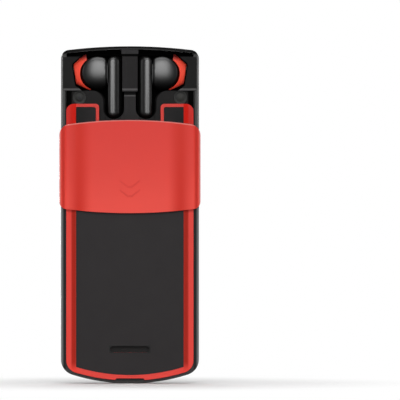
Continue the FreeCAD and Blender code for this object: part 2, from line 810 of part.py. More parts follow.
def number_keys():
    gap = size("key_gap") / 2
    column = size("column_gap") / 2
    field_half = size("keypad_width") / 2
    columns = [
        (-field_half, -size("left_column") - column),
        (column - size("left_column"), size("right_column") - column),
        (size("right_column") + column, field_half),
    ]
    rows = [
        (size("first_row") + gap, size("call_row") - gap),
        (size("second_row") + gap, size("first_row") - gap),
        (size("third_row") + gap, size("second_row") - gap),
    ]
    names = [("key_1", "key_2", "key_3"), ("key_4", "key_5", "key_6"), ("key_7", "key_8", "key_9")]
    for (low, high), row_names in zip(rows, names):
        for (left, right), name in zip(columns, row_names):
            cap(name, [rectangle(left, low, right, high)])
    arch = size("low_arch") - size("chin")
    high = size("third_row") - gap
    for (left, right), name in zip(columns, ("key_star", "key_0", "key_hash")):
        left_foot = size("low_arch") - (arch * arch - left * left).root()
        right_foot = size("low_arch") - (arch * arch - right * right).root()
        cap(name, [[(left, left_foot, arch), (right, right_foot), (right, high), (left, high)]])


def ring_loop(width, height, radius, grow=0.0):
    middle = size("ring_middle")
    return rounded(-width / 2 - grow, middle - height / 2 - grow, width / 2 + grow, middle + height / 2 + grow,
                   radius + grow)


def control_keys():
    gap = size("key_gap") / 2
    field_half = size("keypad_width") / 2
    ring_clear = ring_loop(size("ring_width"), size("ring_height"), size("ring_corner"), size("key_gap"))
    top = size("keypad_top")
    spans = [("soft_key", size("soft_row") + gap, top), ("call", size("call_row") + gap, size("soft_row") - gap)]
    for kind, low, high in spans:
        for side_name, side in sides():
            name = f"soft_key_{side_name}" if kind == "soft_key" else ("call_key" if side < 0 else "end_key")
            left, right = (-field_half, -gap) if side < 0 else (gap, field_half)
            cap(name, [rectangle(left, low, right, high)], hole=ring_clear)
    ring = ring_loop(size("ring_width"), size("ring_height"), size("ring_corner"))
    inner = ring_loop(size("centre_width"), size("centre_height"), size("centre_corner"), size("key_gap") * 0.7)
    cap("dpad_ring", [ring], bevel=size("ring_round"), hole=inner)
    centre = ring_loop(size("centre_width"), size("centre_height"), size("centre_corner"))
    cap("centre_key", [centre], bevel=size("centre_round"))


def key_middles():
    """The point under each key's middle, where its switch sits."""
    gap_x = (size("keypad_width") / 2 + size("right_column")) / 2
    rows = [
        (size("first_row") + size("call_row")) / 2,
        (size("second_row") + size("first_row")) / 2,
        (size("third_row") + size("second_row")) / 2,
        (size("chin") + size("third_row")) / 2 + 0.8,
    ]
    spots = [(x, height) for height in rows for x in (-gap_x, as_dim(0), gap_x)]
    for height in ((size("soft_row") + size("keypad_top")) / 2, (size("soft_row") + size("call_row")) / 2):
        spots += [(-gap_x, height), (gap_x, height)]
    middle = size("ring_middle")
    reach = (size("ring_width") + size("centre_width")) / 4 + 0.1
    rise = (size("ring_height") + size("centre_height")) / 4 + 0.1
    spots += [(as_dim(0), middle), (-reach, middle), (reach, middle), (as_dim(0), middle - rise), (as_dim(0), middle + rise)]
    return spots


def switch_blocks(label, width, low, high):
    """One small block over each switch of the keypad."""
    half = width / 2
    return [
        box(f"{label}_{number}", x - half, x + half, low, high, z - half, z + half)
        for number, (x, z) in enumerate(key_middles())
    ]


def keypad_mat():
    """Silicone mat under the keys, with one pad for each switch."""
    body = new_body("mat_web")
    back = board_front - 0.3
    add(body, "Y", [keypad_loop(-0.5)], back - size("mat_thick"), back)
    remove(body, "Y", [mic_notch()], cavity_front - 1, board_front)
    pads = switch_blocks("pad", size("pad_width"), front + size("key_thick") + size("key_travel") + 0.05, back)
    return keep(joined("keypad_mat", [body] + pads))


def dome_sheet():
    """Switch foil on the board, with one four-legged metal dome for each key."""
    body = new_body("switch_foil")
    add(body, "Y", [keypad_loop(-0.3)], board_front - 0.1, board_front)
    remove(body, "Y", [mic_notch()], cavity_front - 1, board_front)
    domes = switch_blocks("dome", size("dome_width"), board_front - size("dome_rise") - 0.1, board_front)
    return keep(joined("dome_sheet", [body] + domes))


def jack_space(grow):
    """The room that the headphone jack needs, seen from the front."""
    half = size("jack_body") / 2 + grow
    middle = size("jack_off")
    return rectangle(middle - half, 0, middle + half, size("jack_low") + size("jack_length") + 1 + grow)


def mic_notch():
    middle = -size("mic_off")
    return rectangle(middle - 1.7, 0, middle + 1.7, size("mic_high") + 1.4)


# Glass, display and the earpiece behind the slot in the glass.


def display_glass():
    body = new_body("display_glass")
    half = size("glass_width") / 2
    rim = size("glass_rim") + size("glass_gap")
    add(body, "Y", [glass_loop(half, size("glass_low"), rim)], front, glass_back)
    blend_edges(body, "Chamfer", lambda edge, middle: abs(middle.y - front.value) < 1e-4, size("glass_bevel"))
    reach = size("earpiece_half")
    remove(body, "Y", [slot(-reach, reach, size("earpiece_high"), size("earpiece_radius"))], front - 1, 0)
    return keep(body)


def display_and_earpiece():
    half = size("display_width") / 2
    keep(box("display_module", -half, half, glass_back + 0.05, glass_back + size("display_thick"),
             size("display_low"), size("display_high")))
    middle = size("earpiece_high")
    reach = size("earpiece_half") + 0.4
    keep(box("earpiece_speaker", -reach, reach, glass_back + 0.5, board_front - 0.1, middle - 3, middle + 3))
    rise = size("earpiece_radius") + 0.5
    earpiece = box("earpiece_mesh", -reach, reach, glass_back + 0.05, glass_back + 0.25, middle - rise, middle + rise)
    slot_reach = size("slot_half") + 0.5
    slot_rise = size("slot_radius") + 0.5
    loud = box("loudspeaker_mesh", -slot_reach, slot_reach, trim_inner() - 0.3, trim_inner() - 0.05,
               size("slot_middle") - slot_rise, size("slot_middle") + slot_rise)
    keep(together("speaker_meshes", [earpiece, loud]))


# Rear housing: the dark moulding behind the parting plane. Its sides are stepped in where the cover slides, with a
# groove for the cover's lips whose two ends are the stops.


def rear_housing():
    body = new_body("rear_housing")
    straight = rear - size("rear_round")
    profile = [
        (-half_body, 0),
        (half_body, 0),
        (half_body, straight, size("rear_round")),
        (half_body - size("rear_round"), rear),
        (size("rear_round") - half_body, rear, size("rear_round")),
        (-half_body, straight),
    ]
    add(body, "Z", [profile], 0, body_length)
    remove(body, "Y", [AROUND, body_outline(0)], -1, rear + 1)
    rail_round = size("rail_round")
    step = [
        (rail_half, -1),
        (half_body + 2, -1),
        (half_body + 2, rear + 1),
        (rail_half - rail_round, rear + 1),
        (rail_half - rail_round, rear, -rail_round),
        (rail_half, rear - rail_round),
    ]
    groove_bottom = rail_half - size("groove_deep")
    groove = rectangle(groove_bottom, -1, rail_half + 1, size("groove_high"))
    groove_low = size("lip_low") - 0.3
    groove_high = size("lip_low") + size("lip_length") + size("cover_travel") + 0.3
    for step_loop, groove_loop in ((step, groove), (mirrored(step), mirrored(groove))):
        remove(body, "Z", [step_loop], size("rail_low"), body_length + 1)
        remove(body, "Z", [groove_loop], groove_low, groove_high)
    spring_room = rectangle(groove_bottom - 0.4, -1, groove_bottom + 0.1, size("groove_high"))
    spring_low = size("detent_low") - 0.1
    for loop in (spring_room, mirrored(spring_room)):
        remove(body, "Z", [loop], spring_low, spring_low + size("detent_length") + 0.2)
    add(body, "Y", [body_outline(floor_inset, floor_half)], floor_front, 0.5)
    seat = trim_loop(size("trim_gap"))
    remove(body, "Y", [seat], size("trim_base"), rear + 1)
    bay_half = size("bay_width") / 2
    remove(body, "Y", [bay_loop(bay_half, size("bay_low"), size("bay_wall"))], 0, rear + 1)
    ledge_half = size("flange_width") / 2 + size("tray_gap")
    ledge_low = size("deck_high") - size("tray_gap")
    remove(body, "Y", [bay_loop(ledge_half, ledge_low, size("bay_wall"))], size("flange_foot"), rear + 1)
    inner_half = floor_half + 1
    remove(body, "Y", [rectangle(-inner_half, size("bay_low"), inner_half, body_length)], floor_front - 1, 0)
    battery_half = size("battery_width") / 2 + size("battery_gap")
    battery_room = rectangle(-battery_half, size("battery_low") - 3, battery_half, size("battery_high") + size("battery_gap"))
    remove(body, "Y", [battery_room], floor_back, rear + 1)
    remove(body, "Y", [rectangle(-6, size("battery_low") - 3, 6, size("battery_low") - 0.6)], floor_front - 1, floor_back + 1)
    speaker_room = rectangle(-9.0, 8.8, 9.0, 20.2)
    remove(body, "Y", [speaker_room], floor_back, rear + 1)
    remove(body, "Y", hollows(), floor_back, rear + 1)
    remove(body, "Y", [square(motor_x, motor_z, 2 * motor_radius + 0.6)], floor_front - 1, 0.6)
    remove(body, "Y", [jack_space(0.5)], floor_front - 1, 0)
    usb_room = rectangle(-4.4, size("end_wall"), 4.4, size("usb_low") + size("usb_length") + 0.5)
    remove(body, "Y", [usb_room], floor_front - 1, port_y + size("usb_thick") / 2 + 0.2)
    heads = [square(x, z, 2 * size("screw_head") + 0.4) for x, z in screw_places()]
    remove(body, "Y", heads, screw_seat(), rear + 1)
    shafts = [disc(x, z, size("screw_radius") + 0.2) for x, z in screw_places()]
    remove(body, "Y", shafts, floor_front - 1, screw_seat() + 1)
    return keep(body)


def screw_seat():
    return as_dim(1.4)


def hollows():
    """The hollows between the ribs under the battery cover."""
    high = size("battery_low") - 4.5
    outer = trim_half - 1.4
    inner = trim_half - 3.9
    side_low = size("battery_low") + 28
    side_high = size("battery_high")
    return [
        rectangle(-19.5, 18.5, -10.5, high),
        rectangle(-9.0, 21.5, 9.0, high),
        rectangle(10.5, 9.5, 15.0, high),
        rectangle(16.5, 10.0, 21.5, high),
        rectangle(-outer, side_low, -inner, side_high),
        rectangle(inner, side_low, outer, side_high),
    ]


def bay_loop(half, low, wall):
    arch = size("top_arch") - wall
    top = body_length - size("top_arch") + (arch * arch - half * half).root()
    return [(-half, low), (half, low), (half, top, arch), (-half, top)]


# Battery cover: the red trim carries a dark panel, and ends in two ears beside the earbuds' stems.


def trim_loop(grow):
    """The battery cover seen from behind, grown all round for its seat."""
    half = trim_half + grow
    low = size("trim_low") - grow
    arch = size("low_arch") - low
    corner = size("trim_corner") + grow
    reach = arch - corner
    corner_x = half - corner
    rise = (reach * reach - corner_x * corner_x).root()
    centre = low + arch
    join_x = corner_x * arch / reach
    join_y = centre - rise * arch / reach
    top = size("ear_high") + grow
    outer = size("ear_corner")
    inner = size("ear_inner_corner")
    inner_x = size("ear_inner") - grow
    foot = size("ear_foot") + grow
    return [
        (-half, centre - rise, corner),
        (-join_x, join_y, arch),
        (join_x, join_y, corner),
        (half, centre - rise),
        (half, top - outer, outer),
        (half - outer, top),
        (inner_x + inner, top, inner),
        (inner_x, top - inner),
        (inner_x, foot),
        (-inner_x, foot),
        (-inner_x, top - inner, inner),
        (-inner_x - inner, top),
        (outer - half, top, outer),
        (-half, top - outer),
    ]


def crown_radius(half, rise):
    return (half * half + rise * rise) / (2 * rise)


def panel_level(offset):
    """The dark panel's outer surface at its edge, moved by offset."""
    return size("panel_peak") - size("panel_crown") + offset


def trim_inner():
    return panel_level(-size("panel_thick") - 0.6)


def battery_cover_trim():
    body = new_body("trim_blank")
    panel_half = size("panel_width") / 2
    edge_half = panel_half + 0.15
    top = panel_level(0)
    arch = crown_radius(edge_half, size("panel_crown"))
    inner_half = size("battery_width") / 2 + 1.0
    profile = [
        (-trim_half, size("trim_base")),
        (-inner_half, size("trim_base")),
        (-inner_half, trim_inner()),
        (inner_half, trim_inner()),
        (inner_half, size("trim_base")),
        (trim_half, size("trim_base")),
        (trim_half, size("trim_edge")),
        (size("trim_band"), size("trim_edge") + 0.15),
        (edge_half, top, arch),
        (-edge_half, top),
        (-size("trim_band"), size("trim_edge") + 0.15),
        (-trim_half, size("trim_edge")),
    ]
    add(body, "Z", [profile], 0, size("ear_high") + 1)
    remove(body, "Y", [AROUND, trim_loop(0)], 0, 10)
    notch = [(-6.2, -1), (6.2, -1), (6.2, 1.3), (5.3, 2.1), (-5.3, 2.1), (-6.2, 1.3)]
    remove(body, "Y", [notch], 0, 10)
    slot_half = size("slot_half")
    slot_rise = size("slot_radius")
    slot_middle = size("slot_middle")
    speaker_slot = rectangle(-slot_half, slot_middle - slot_rise, slot_half, slot_middle + slot_rise)
    remove(body, "Y", [speaker_slot], 0, 10)
    seat = panel_solid("panel_seat", size("panel_seat_gap"), False)
    return keep(less("battery_cover_trim", body, seat))


def panel_loop(grow):
    half = size("panel_width") / 2 + grow
    arch = size("panel_arch") + grow
    low = size("panel_low") - grow
    foot = low + arch - (arch * arch - half * half).root()
    top = size("ear_high") - size("ear_rim") + grow
    inner = size("ear_inner") + size("ear_rim") - grow
    corner = as_dim(0.8)
    return [
        (-half, foot, arch),
        (half, foot),
        (half, top),
        (inner + corner, top, corner),
        (inner, top - corner),
        (inner, size("ear_foot") - size("ear_rim") + grow),
        (-inner, size("ear_foot") - size("ear_rim") + grow),
        (-inner, top - corner, corner),
        (-inner - corner, top),
        (-half, top),
    ]


def panel_solid(label, grow, with_slot):
    """The dark panel, or the seat for it, as its plan cut from its crowned end profile."""
    half = size("panel_width") / 2 + 2
    crown = crown_radius(size("panel_width") / 2, size("panel_crown"))
    top_edge = size("panel_peak") - crown + (crown * crown - half * half).root()
    drop = size("panel_thick") + grow
    end = new_body(label + "_end")
    profile = [
        (-half, top_edge - drop, -crown),
        (half, top_edge - drop),
        (half, top_edge + (0 if with_slot else 1), crown),
        (-half, top_edge + (0 if with_slot else 1)),
    ]
    add(end, "Z", [profile], 0, size("ear_high") + 2)
    plan = new_body(label + "_plan")
    loops = [panel_loop(as_dim(grow))]
    if with_slot:
        loops.append(slot(-size("slot_half"), size("slot_half"), size("slot_middle"), size("slot_radius")))
    add(plan, "Y", loops, 0, 12)
    return overlap(label, end, plan)


# Sliding cover: a thin red shell whose skirts hook into the rail grooves.


def slider_cover():
    body = new_body("slider_cover")
    half = size("cover_width") / 2
    wall = size("cover_wall")
    foot = size("slide_gap")
    round_outer = size("cover_round")
    round_inner = round_outer - wall
    shoulder_x = half - round_outer
    shoulder = size("cover_shoulder")
    slope_x = size("cover_panel") + size("cover_slope")
    panel_x = size("cover_panel")
    panel_y = size("cover_peak") - size("cover_crown")
    slope_y = panel_y - size("cover_drop")
    arch = crown_radius(panel_x, size("cover_crown"))
    inner_drop = wall - 0.05
    outer = [
        (half, foot),
        (half, shoulder - round_outer, round_outer),
        (shoulder_x, shoulder),
        (slope_x, slope_y),
        (panel_x, panel_y, arch),
        (-panel_x, panel_y),
        (-slope_x, slope_y),
        (-shoulder_x, shoulder, round_outer),
        (-half, shoulder - round_outer),
        (-half, foot),
    ]
    inner = [
        (wall - half, foot),
        (wall - half, shoulder - round_outer, -round_inner),
        (-shoulder_x, shoulder - wall),
        (-slope_x, slope_y - inner_drop),
        (-panel_x, panel_y - inner_drop, -arch),
        (panel_x, panel_y - inner_drop),
        (slope_x, slope_y - inner_drop),
        (shoulder_x, shoulder - wall, -round_inner),
        (half - wall, shoulder - round_outer),
        (half - wall, foot),
    ]
    add(body, "Z", [outer + inner], size("cover_low") - 2, size("cover_high") + 2)
    outline = arched(
        half,
        size("cover_low"),
        size("cover_high"),
        size("cover_low_arch"),
        size("cover_low_corner"),
        size("cover_top_arch"),
        size("cover_top_corner"),
    )
    remove(body, "Y", [AROUND, outline], -1, 10)
    lip = rectangle(half - wall - size("lip_reach"), foot, half - wall / 2, foot + size("lip_thick"))
    for loop in (lip, mirrored(lip)):
        add(body, "Z", [loop], size("lip_low"), size("lip_low") + size("lip_length"))
    for top in (size("cover_low") + 13.3, size("cover_low") + 9.6):
        remove(body, "Y", [chevron(top)], size("cover_peak") - size("chevron_deep"), size("cover_peak") + 1)
    return keep(body)


def chevron(top):
    """A rounded V, pointing down, its line as wide as it is pressed."""
    half = size("chevron_half")
    line = size("chevron_line")
    fall = as_dim(2.5)
    return [
        (-half, top - line),
        (as_dim(-0.9), top - line - fall),
        (as_dim(0.9), top - line - fall),
        (half, top - line),
        (half, top),
        (as_dim(0.7), top - fall),
        (as_dim(-0.7), top - fall),
        (-half, top),
    ]


# Earbud tray: the moulding that takes the most skill. Two mirrored pockets shaped to the earbuds, a bridge between
# them, a trough along the end wall, and a lower deck at each side with a round window.


def pocket_loop(deep):
    """One earbud's pocket, seen from behind on the +X side. The deep part is a little narrower."""
    inner = size("pocket_inner")
    outer = size("pocket_outer") - (size("pocket_step") if deep else 0)
    radius = (outer - inner) / 2
    low = size("pocket_low")
    bend = size("pocket_bend")
    deck = size("deck_high")
    bridge = size("bridge_half")
    tip = size("tip_off")
    high = size("tip_high")
    side = 0.7 if deep else 1.1
    top = high + (7.4 if deep else 8.6)
    return [
        (inner, low + radius, radius),
        (inner + radius, low, radius),
        (outer, low + radius),
        (outer, deck - bend, -bend),
        (outer + bend, deck),
        (tip - 2.9, deck - 0.1),
        (tip - 0.2, deck + 1.9),
        (tip + 0.4, high - 1.0),
        (tip + side, high + 3.2),
        (tip + side - 0.25, high + 4.2),
        (tip - 4.1, top),
        (bridge + 0.6, top),
        (bridge, high + 6.6),
        (bridge, deck - 0.4),
        (inner, deck - 0.4),
    ]


def earbud_tray():
    body = new_body("earbud_tray")
    gap = size("tray_gap")
    low = size("bay_low") + gap
    half = size("bay_width") / 2 - gap
    wall = size("bay_wall") + gap
    top = size("tray_top")
    add(body, "Y", [bay_loop(half, low, wall)], 0.1, top)
    add(body, "Y", [bay_loop(floor_half - size("top_corner") / 4, low, floor_inset)], -size("tray_foot"), 0.5)
    flange_half = size("flange_width") / 2
    add(body, "Y", [bay_loop(flange_half, size("deck_high"), wall)], size("flange_foot") + 0.05, top)
    deck_inner = size("pocket_outer") - 1
    deck = rectangle(deck_inner, low - 1, half + 1, size("deck_high"))
    bridge = size("bridge_half")
    trough_low = size("trough_low")
    trough = [(bridge, trough_low), (half + 5, trough_low), (half + 5, body_length), (bridge + 0.9, body_length)]
    for loop in (deck, mirrored(deck)):
        remove(body, "Y", [loop], size("tray_deck"), top + 1)
    for loop in (trough, mirrored(trough)):
        remove(body, "Y", [loop], size("trough_floor"), top + 1)
    rib_half = size("pocket_inner") + 0.3
    remove(body, "Y", [rectangle(-rib_half, low - 1, rib_half, size("deck_high") - 0.4)], top - 0.9, top + 1)
    notch_low = size("deck_high") - 1.8
    remove(body, "Y", [rectangle(-rib_half, notch_low, rib_half, size("deck_high") - 0.4)], size("trough_floor"), top)
    for loop in (pocket_loop(False), mirrored(pocket_loop(False))):
        remove(body, "Y", [loop], 0.4, top + 1)
    for loop in (pocket_loop(True), mirrored(pocket_loop(True))):
        remove(body, "Y", [loop], -size("pocket_floor"), 0.5)
    for _, side in sides():
        x = side * size("window_off")
        window = disc(x, size("window_high"), size("window_radius") + 0.05)
        remove(body, "Y", [window], size("tray_deck") - 1.0, top)
    camera = rectangle(size("window_off") - 2.9, size("window_high") - 2.9, size("window_off") + 2.9,
                       size("window_high") + 2.9)
    remove(body, "Y", [camera], -size("tray_foot") - 1, size("tray_deck") - 1.5)
    aperture = square(size("window_off"), size("window_high"), as_dim(3.2))
    remove(body, "Y", [aperture], size("tray_deck") - 2.0, size("tray_deck"))
    magnets = [square(side * size("bulb_off"), size("bulb_high"), size("magnet_width") + 0.2) for _, side in sides()]
    remove(body, "Y", magnets, -size("tray_foot") - 1, magnet_back + 0.05)
    holes = [square(side * stem_middle, height, size("pin_width") + 0.2) for _, side in sides() for height in pin_heights()]
    remove(body, "Y", holes, -size("tray_foot") - 1, 0)
    return keep(body)


stem_middle = size("stem_inner") + size("stem_width") / 2
magnet_back = -size("pocket_floor") - 0.4


def pin_heights():
    first = size("stem_low") + size("contact_off")
    return (first, first + size("contact_pitch"))


def post(label, x, z, width, low, high):
    """A square block that stands on the board or the tray, from low to high."""
    half = width / 2
    return box(label, x - half, x + half, low, high, z - half, z + half)


def tray_pieces():
    """Windows in the lower decks, the camera, the magnets and the charging pins."""
    deck = size("tray_deck")
    thick = as_dim(0.85)
    off = size("window_off")
    high = size("window_high")
    keep(rod("camera_window", "Y", off, deck - 0.95, high, size("window_radius"), thick))
    keep(rod("flash_window", "Y", -off, deck - 0.95, high, size("window_radius"), thick))
    block = box("camera_block", off - 2.7, off + 2.7, board_back + 0.05, deck - 2.1, high - 2.7, high + 2.7)
    barrel = rod("camera_barrel", "Y", off, deck - 2.2, high, as_dim(1.5), as_dim(1.0))
    keep(joined("camera_module", [block, barrel]))
    magnets = []
    pins = []
    for side_name, side in sides():
        magnets.append(post(f"magnet_{side_name}", side * size("bulb_off"), size("bulb_high"), size("magnet_width"),
                            0.05 - size("tray_foot"), magnet_back))
        for number, height in enumerate(pin_heights()):
            pins.append(post(f"pin_{side_name}_{number}", side * stem_middle, height, size("pin_width"),
                             board_back + 0.05, 0.1 - size("pocket_floor")))
    keep(together("earbud_magnets", magnets))
    keep(together("charging_pins", pins))


# Earbuds: a black shell with a half-round bulb and a stem, a red ear tip and two charging contacts each.


def earbud(side_name, side):
    middle = size("bud_middle")
    bulb = bulb_solid(side_name, side)
    stem = stem_solid(side_name, side)
    neck_near = side * (size("stem_inner") + size("stem_width") - 1)
    neck_far = side * (size("bulb_flat") + 2)
    low_x, high_x = (neck_near, neck_far) if side > 0 else (neck_far, neck_near)
    high = size("bulb_high")
    neck = box(f"{side_name}_neck", low_x, high_x, middle - 2.6, middle + 1.2, high - 4.2, high + 4.6)
    shell = keep(joined(f"earbud_{side_name}_shell", [bulb, neck, stem]))
    seat = rod(f"{side_name}_tip_seat", "Y", side * size("bulb_off"), -20, high, size("bulb_radius") + 0.05, 40)
    keep(less(f"earbud_{side_name}_ear_tip", tip_solid(side_name, side), seat))
    contacts = []
    for number, height in enumerate(pin_heights()):
        contacts.append(post(f"{side_name}_contact_{number}", side * stem_middle, height, size("contact_width"),
                             -size("stem_front") - 0.15, -size("stem_front")))
    keep(together(f"earbud_{side_name}_contacts", contacts))
    return shell


def bulb_solid(side_name, side):
    """A thick disc with its side towards the stem cut flat, and a wide bevel all round."""
    radius = size("bulb_radius")
    x = size("bulb_off")
    high = size("bulb_high")
    flat = size("bulb_flat")
    chord = (radius * radius - (x - flat) * (x - flat)).root()
    loop = [
        (flat, high - chord, radius),
        (x, high - radius, radius),
        (x + radius, high, radius),
        (x, high + radius, radius),
        (flat, high + chord),
    ]
    middle = size("bud_middle")
    body = new_body(f"{side_name}_bulb")
    add(body, "Y", [loop if side > 0 else mirrored(loop)], middle - size("bulb_half"), middle + size("bulb_half"))
    blend_edges(body, "Chamfer", lambda edge, spot: edge.BoundBox.YLength < 0.01, size("bulb_bevel"))
    return body


def stem_solid(side_name, side):
    """A stem: wide bevels along it, and round at both ends as seen from behind."""
    inner = size("stem_inner")
    outer = inner + size("stem_width")
    bevel = size("stem_round")
    low_y = -size("stem_front")
    high_y = size("stem_rear")
    section = [
        (inner + bevel, low_y),
        (outer - bevel, low_y),
        (outer, low_y + bevel),
        (outer, high_y - bevel),
        (outer - bevel, high_y),
        (inner + bevel, high_y),
        (inner, high_y - bevel),
        (inner, low_y + bevel),
    ]
    outline = upright_slot(inner, outer, size("stem_low"), size("stem_high"))
    body = new_body(f"{side_name}_stem")
    add(body, "Z", [section if side > 0 else mirrored(section)], size("stem_low"), size("stem_high"))
    remove(body, "Y", [AROUND, outline if side > 0 else mirrored(outline)], low_y - 1, high_y + 1)
    return body


def cosine(angle):
    return Dim(math.cos(math.radians(angle.value)), f"cos({angle.text} * 1 deg)")


def sine(angle):
    return Dim(math.sin(math.radians(angle.value)), f"sin({angle.text} * 1 deg)")


def tip_solid(side_name, side):
    """A soft cone that leans down and away from the stem, flattened through the phone's back."""
    along_x = cosine(size("tip_tilt"))
    along_z = sine(size("tip_tilt"))

    def spot(along, radius):
        x = size("tip_off") + along * along_x + radius * along_z
        return (x, size("tip_high") - along * along_z + radius * along_x)

    root = -size("tip_length")
    collar = root + size("tip_collar")
    wide = size("tip_radius")
    narrow = size("tip_face")
    face = as_dim(0)
    loop = [spot(root, -wide), spot(collar, -wide), spot(face, -narrow), spot(face, narrow), spot(collar, wide), spot(root, wide)]
    middle = size("bud_middle")
    body = new_body(f"{side_name}_tip")
    add(body, "Y", [loop if side > 0 else mirrored(loop)], middle - size("tip_half"), middle + size("tip_half"))
    root_edge = 2 * wide.value
    blend_edges(
        body,
        "Chamfer",
        lambda edge, point: edge.BoundBox.YLength < 0.01 and edge.Length < root_edge - 0.1,
        size("tip_bevel"),
    )
    return body


# Board, battery and the other inner pieces.


def main_board():
    body = new_body("main_board")
    inset = size("end_wall") + size("board_end_gap")
    add(body, "Y", [body_outline(inset, cavity_half - size("board_gap"))], board_front, board_back)
    remove(body, "Y", [jack_space(0.4)], board_front - 1, board_back + 1)
    notches = [square(x, z, 2 * size("screw_head")) for x, z in screw_places()]
    remove(body, "Y", notches, board_front - 1, board_back + 1)
    return keep(body)


def board_pieces():
    """What is soldered to the board's rear face, and the microphone on its front."""
    back = board_back
    can_top = floor_front - 0.25
    high_can_low = size("bay_low") - 21
    card_high = high_can_low - 2.5
    card_low = card_high - 17
    low_can = box("low_can", -16, 16, back, can_top, size("battery_low") + 2, card_low - 2.5)
    high_can = box("high_can", -16, 16, back, can_top, high_can_low, size("bay_low") - 3)
    keep(together("shield_cans", [low_can, high_can]))
    keep(box("card_holder", -12, 12, back, can_top, card_low, card_high))
    mic = box("microphone", -size("mic_off") - 1.5, 1.5 - size("mic_off"), cavity_front + 0.05, board_front,
              size("mic_high") - 1.2, size("mic_high") + 1.2)
    keep(mic)
    keep(rod("vibration_motor", "Y", motor_x, back + 0.05, motor_z, motor_radius, as_dim(3.0)))
    keep(box("loudspeaker", -8, 8, floor_back + 0.1, trim_inner() - 0.45, 9.5, 19.5))
    antenna_high = body_length - 4.7
    keep(box("antenna", -20, -9, cavity_front + 0.05, cavity_front + 0.25, antenna_high - 9.5, antenna_high))


def battery_pieces():
    half = size("battery_width") / 2
    body = new_body("battery")
    cell = rectangle(-half, size("battery_low"), half, size("battery_high"))
    add(body, "Y", [cell], -size("battery_front"), size("battery_rear"))
    blend_edges(body, "Chamfer", lambda edge, middle: edge.BoundBox.ZLength > 20, size("battery_bevel"))
    keep(body)
    blades = []
    for number in range(3):
        x = 4 * (number - 1)
        blades.append(box(f"blade_{number}", x - 0.6, x + 0.6, board_back, 1.8, size("battery_low") - 2.2,
                          size("battery_low") - 1.0))
    tips = []
    for number in range(3):
        x = 4 * (number - 1)
        tips.append(box(f"blade_tip_{number}", x - 0.6, x + 0.6, 0.6, 1.4, size("battery_low") - 1.0,
                        size("battery_low") - 0.3))
    contacts = [joined(f"contact_{number}", [blade, tip]) for number, (blade, tip) in enumerate(zip(blades, tips))]
    keep(together("battery_contacts", contacts))


def headphone_jack():
    """A snout in the housing's end wall and a square body behind it, with one bore."""
    low = size("jack_low")
    x = size("jack_off")
    half = size("jack_body") / 2
    deep = size("jack_length")
    barrel = rod("jack_barrel", "Z", x, jack_y, low, size("jack_radius"), as_dim(4.0))
    block = box("jack_block", x - half, x + half, jack_y - half, jack_y + half, low + 3.0, low + deep + 1.0)
    solid = joined("jack_solid", [barrel, block])
    bore = rod("jack_bore", "Z", x, jack_y, low - 1, size("jack_bore"), deep + 1)
    return keep(less("headphone_jack", solid, bore))


def usb_port():
    body = new_body("usb_port")
    half = size("usb_width") / 2
    rise = size("usb_thick") / 2
    wall = size("usb_wall")
    low = size("usb_low")
    high = low + size("usb_length")
    add(body, "Z", [rounded(-half, port_y - rise, half, port_y + rise, as_dim(0.7))], low, high)
    inner = rounded(wall - half, port_y - rise + wall, half - wall, port_y + rise - wall, as_dim(0.4))
    remove(body, "Z", [inner], low - 1, high - 0.8)
    tongue = rectangle(1.2 - half, port_y - 0.35, half - 1.2, port_y + 0.35)
    add(body, "Z", [tongue], low + 0.8, high - 0.4)
    return keep(body)


def housing_screws():
    screws = []
    for number, (x, height) in enumerate(screw_places()):
        tip = cavity_front - 0.6
        shaft = rod(f"screw_shaft_{number}", "Y", x, tip, height, size("screw_radius"), screw_seat() + 0.3 - tip)
        head = rod(f"screw_head_{number}", "Y", x, screw_seat() + 0.02, height, size("screw_head"), as_dim(0.9))
        screws.append(joined(f"screw_{number}", [shaft, head]))
    return keep(together("housing_screws", screws))


# Detent springs: bent strips in the floor of the rail grooves. A lip's end snaps over the bend at either stop.


def detent_springs():
    springs = []
    for side_name, side in sides():
        body = new_body(f"detent_{side_name}")
        near = rail_half - size("groove_deep") - 0.35
        low = size("detent_low")
        high = low + size("detent_length")
        middle = (low + high) / 2
        strip = [
            (near, low),
            (near + 0.2, low),
            (near + 0.2, low + 1.4),
            (near + 0.6, middle),
            (near + 0.2, high - 1.4),
            (near + 0.2, high),
            (near, high),
            (near, high - 1.5),
            (near + 0.4, middle),
            (near, low + 1.5),
        ]
        add(body, "Y", [strip if side > 0 else mirrored(strip)], 0.15, size("groove_high") - 0.15)
        springs.append(body)
    return keep(together("detent_springs", springs))


front_housing()
rear_housing()
earbud_tray()
display_glass()
display_and_earpiece()
number_keys()
control_keys()
keypad_mat()
dome_sheet()
for side_key_entry in SIDE_KEYS:
    side_key(*side_key_entry)
side_key_switches()
battery_cover_trim()
keep(panel_solid("battery_cover_panel", 0.0, True))
slider_cover()
tray_pieces()
for earbud_side_name, earbud_side in sides():
    earbud(earbud_side_name, earbud_side)
main_board()
board_pieces()
battery_pieces()
headphone_jack()
usb_port()
housing_screws()
detent_springs()

doc.recompute()
for thing in doc.Objects:
    if "Invalid" in thing.State or "Error" in thing.State:
        raise RuntimeError(f"{thing.Label} failed: {thing.State}")

os.makedirs("parts", exist_ok=True)
for node, thing in nodes.items():
    shape = thing.Shape
    if shape.isNull() or not shape.isValid():
        raise RuntimeError(f"{node} has no valid shape")
    shape.exportStep(f"parts/{node}.step")
print(len(nodes), "nodes")
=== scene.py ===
import json
import math

import bmesh
import bpy
from mathutils import Matrix, Vector


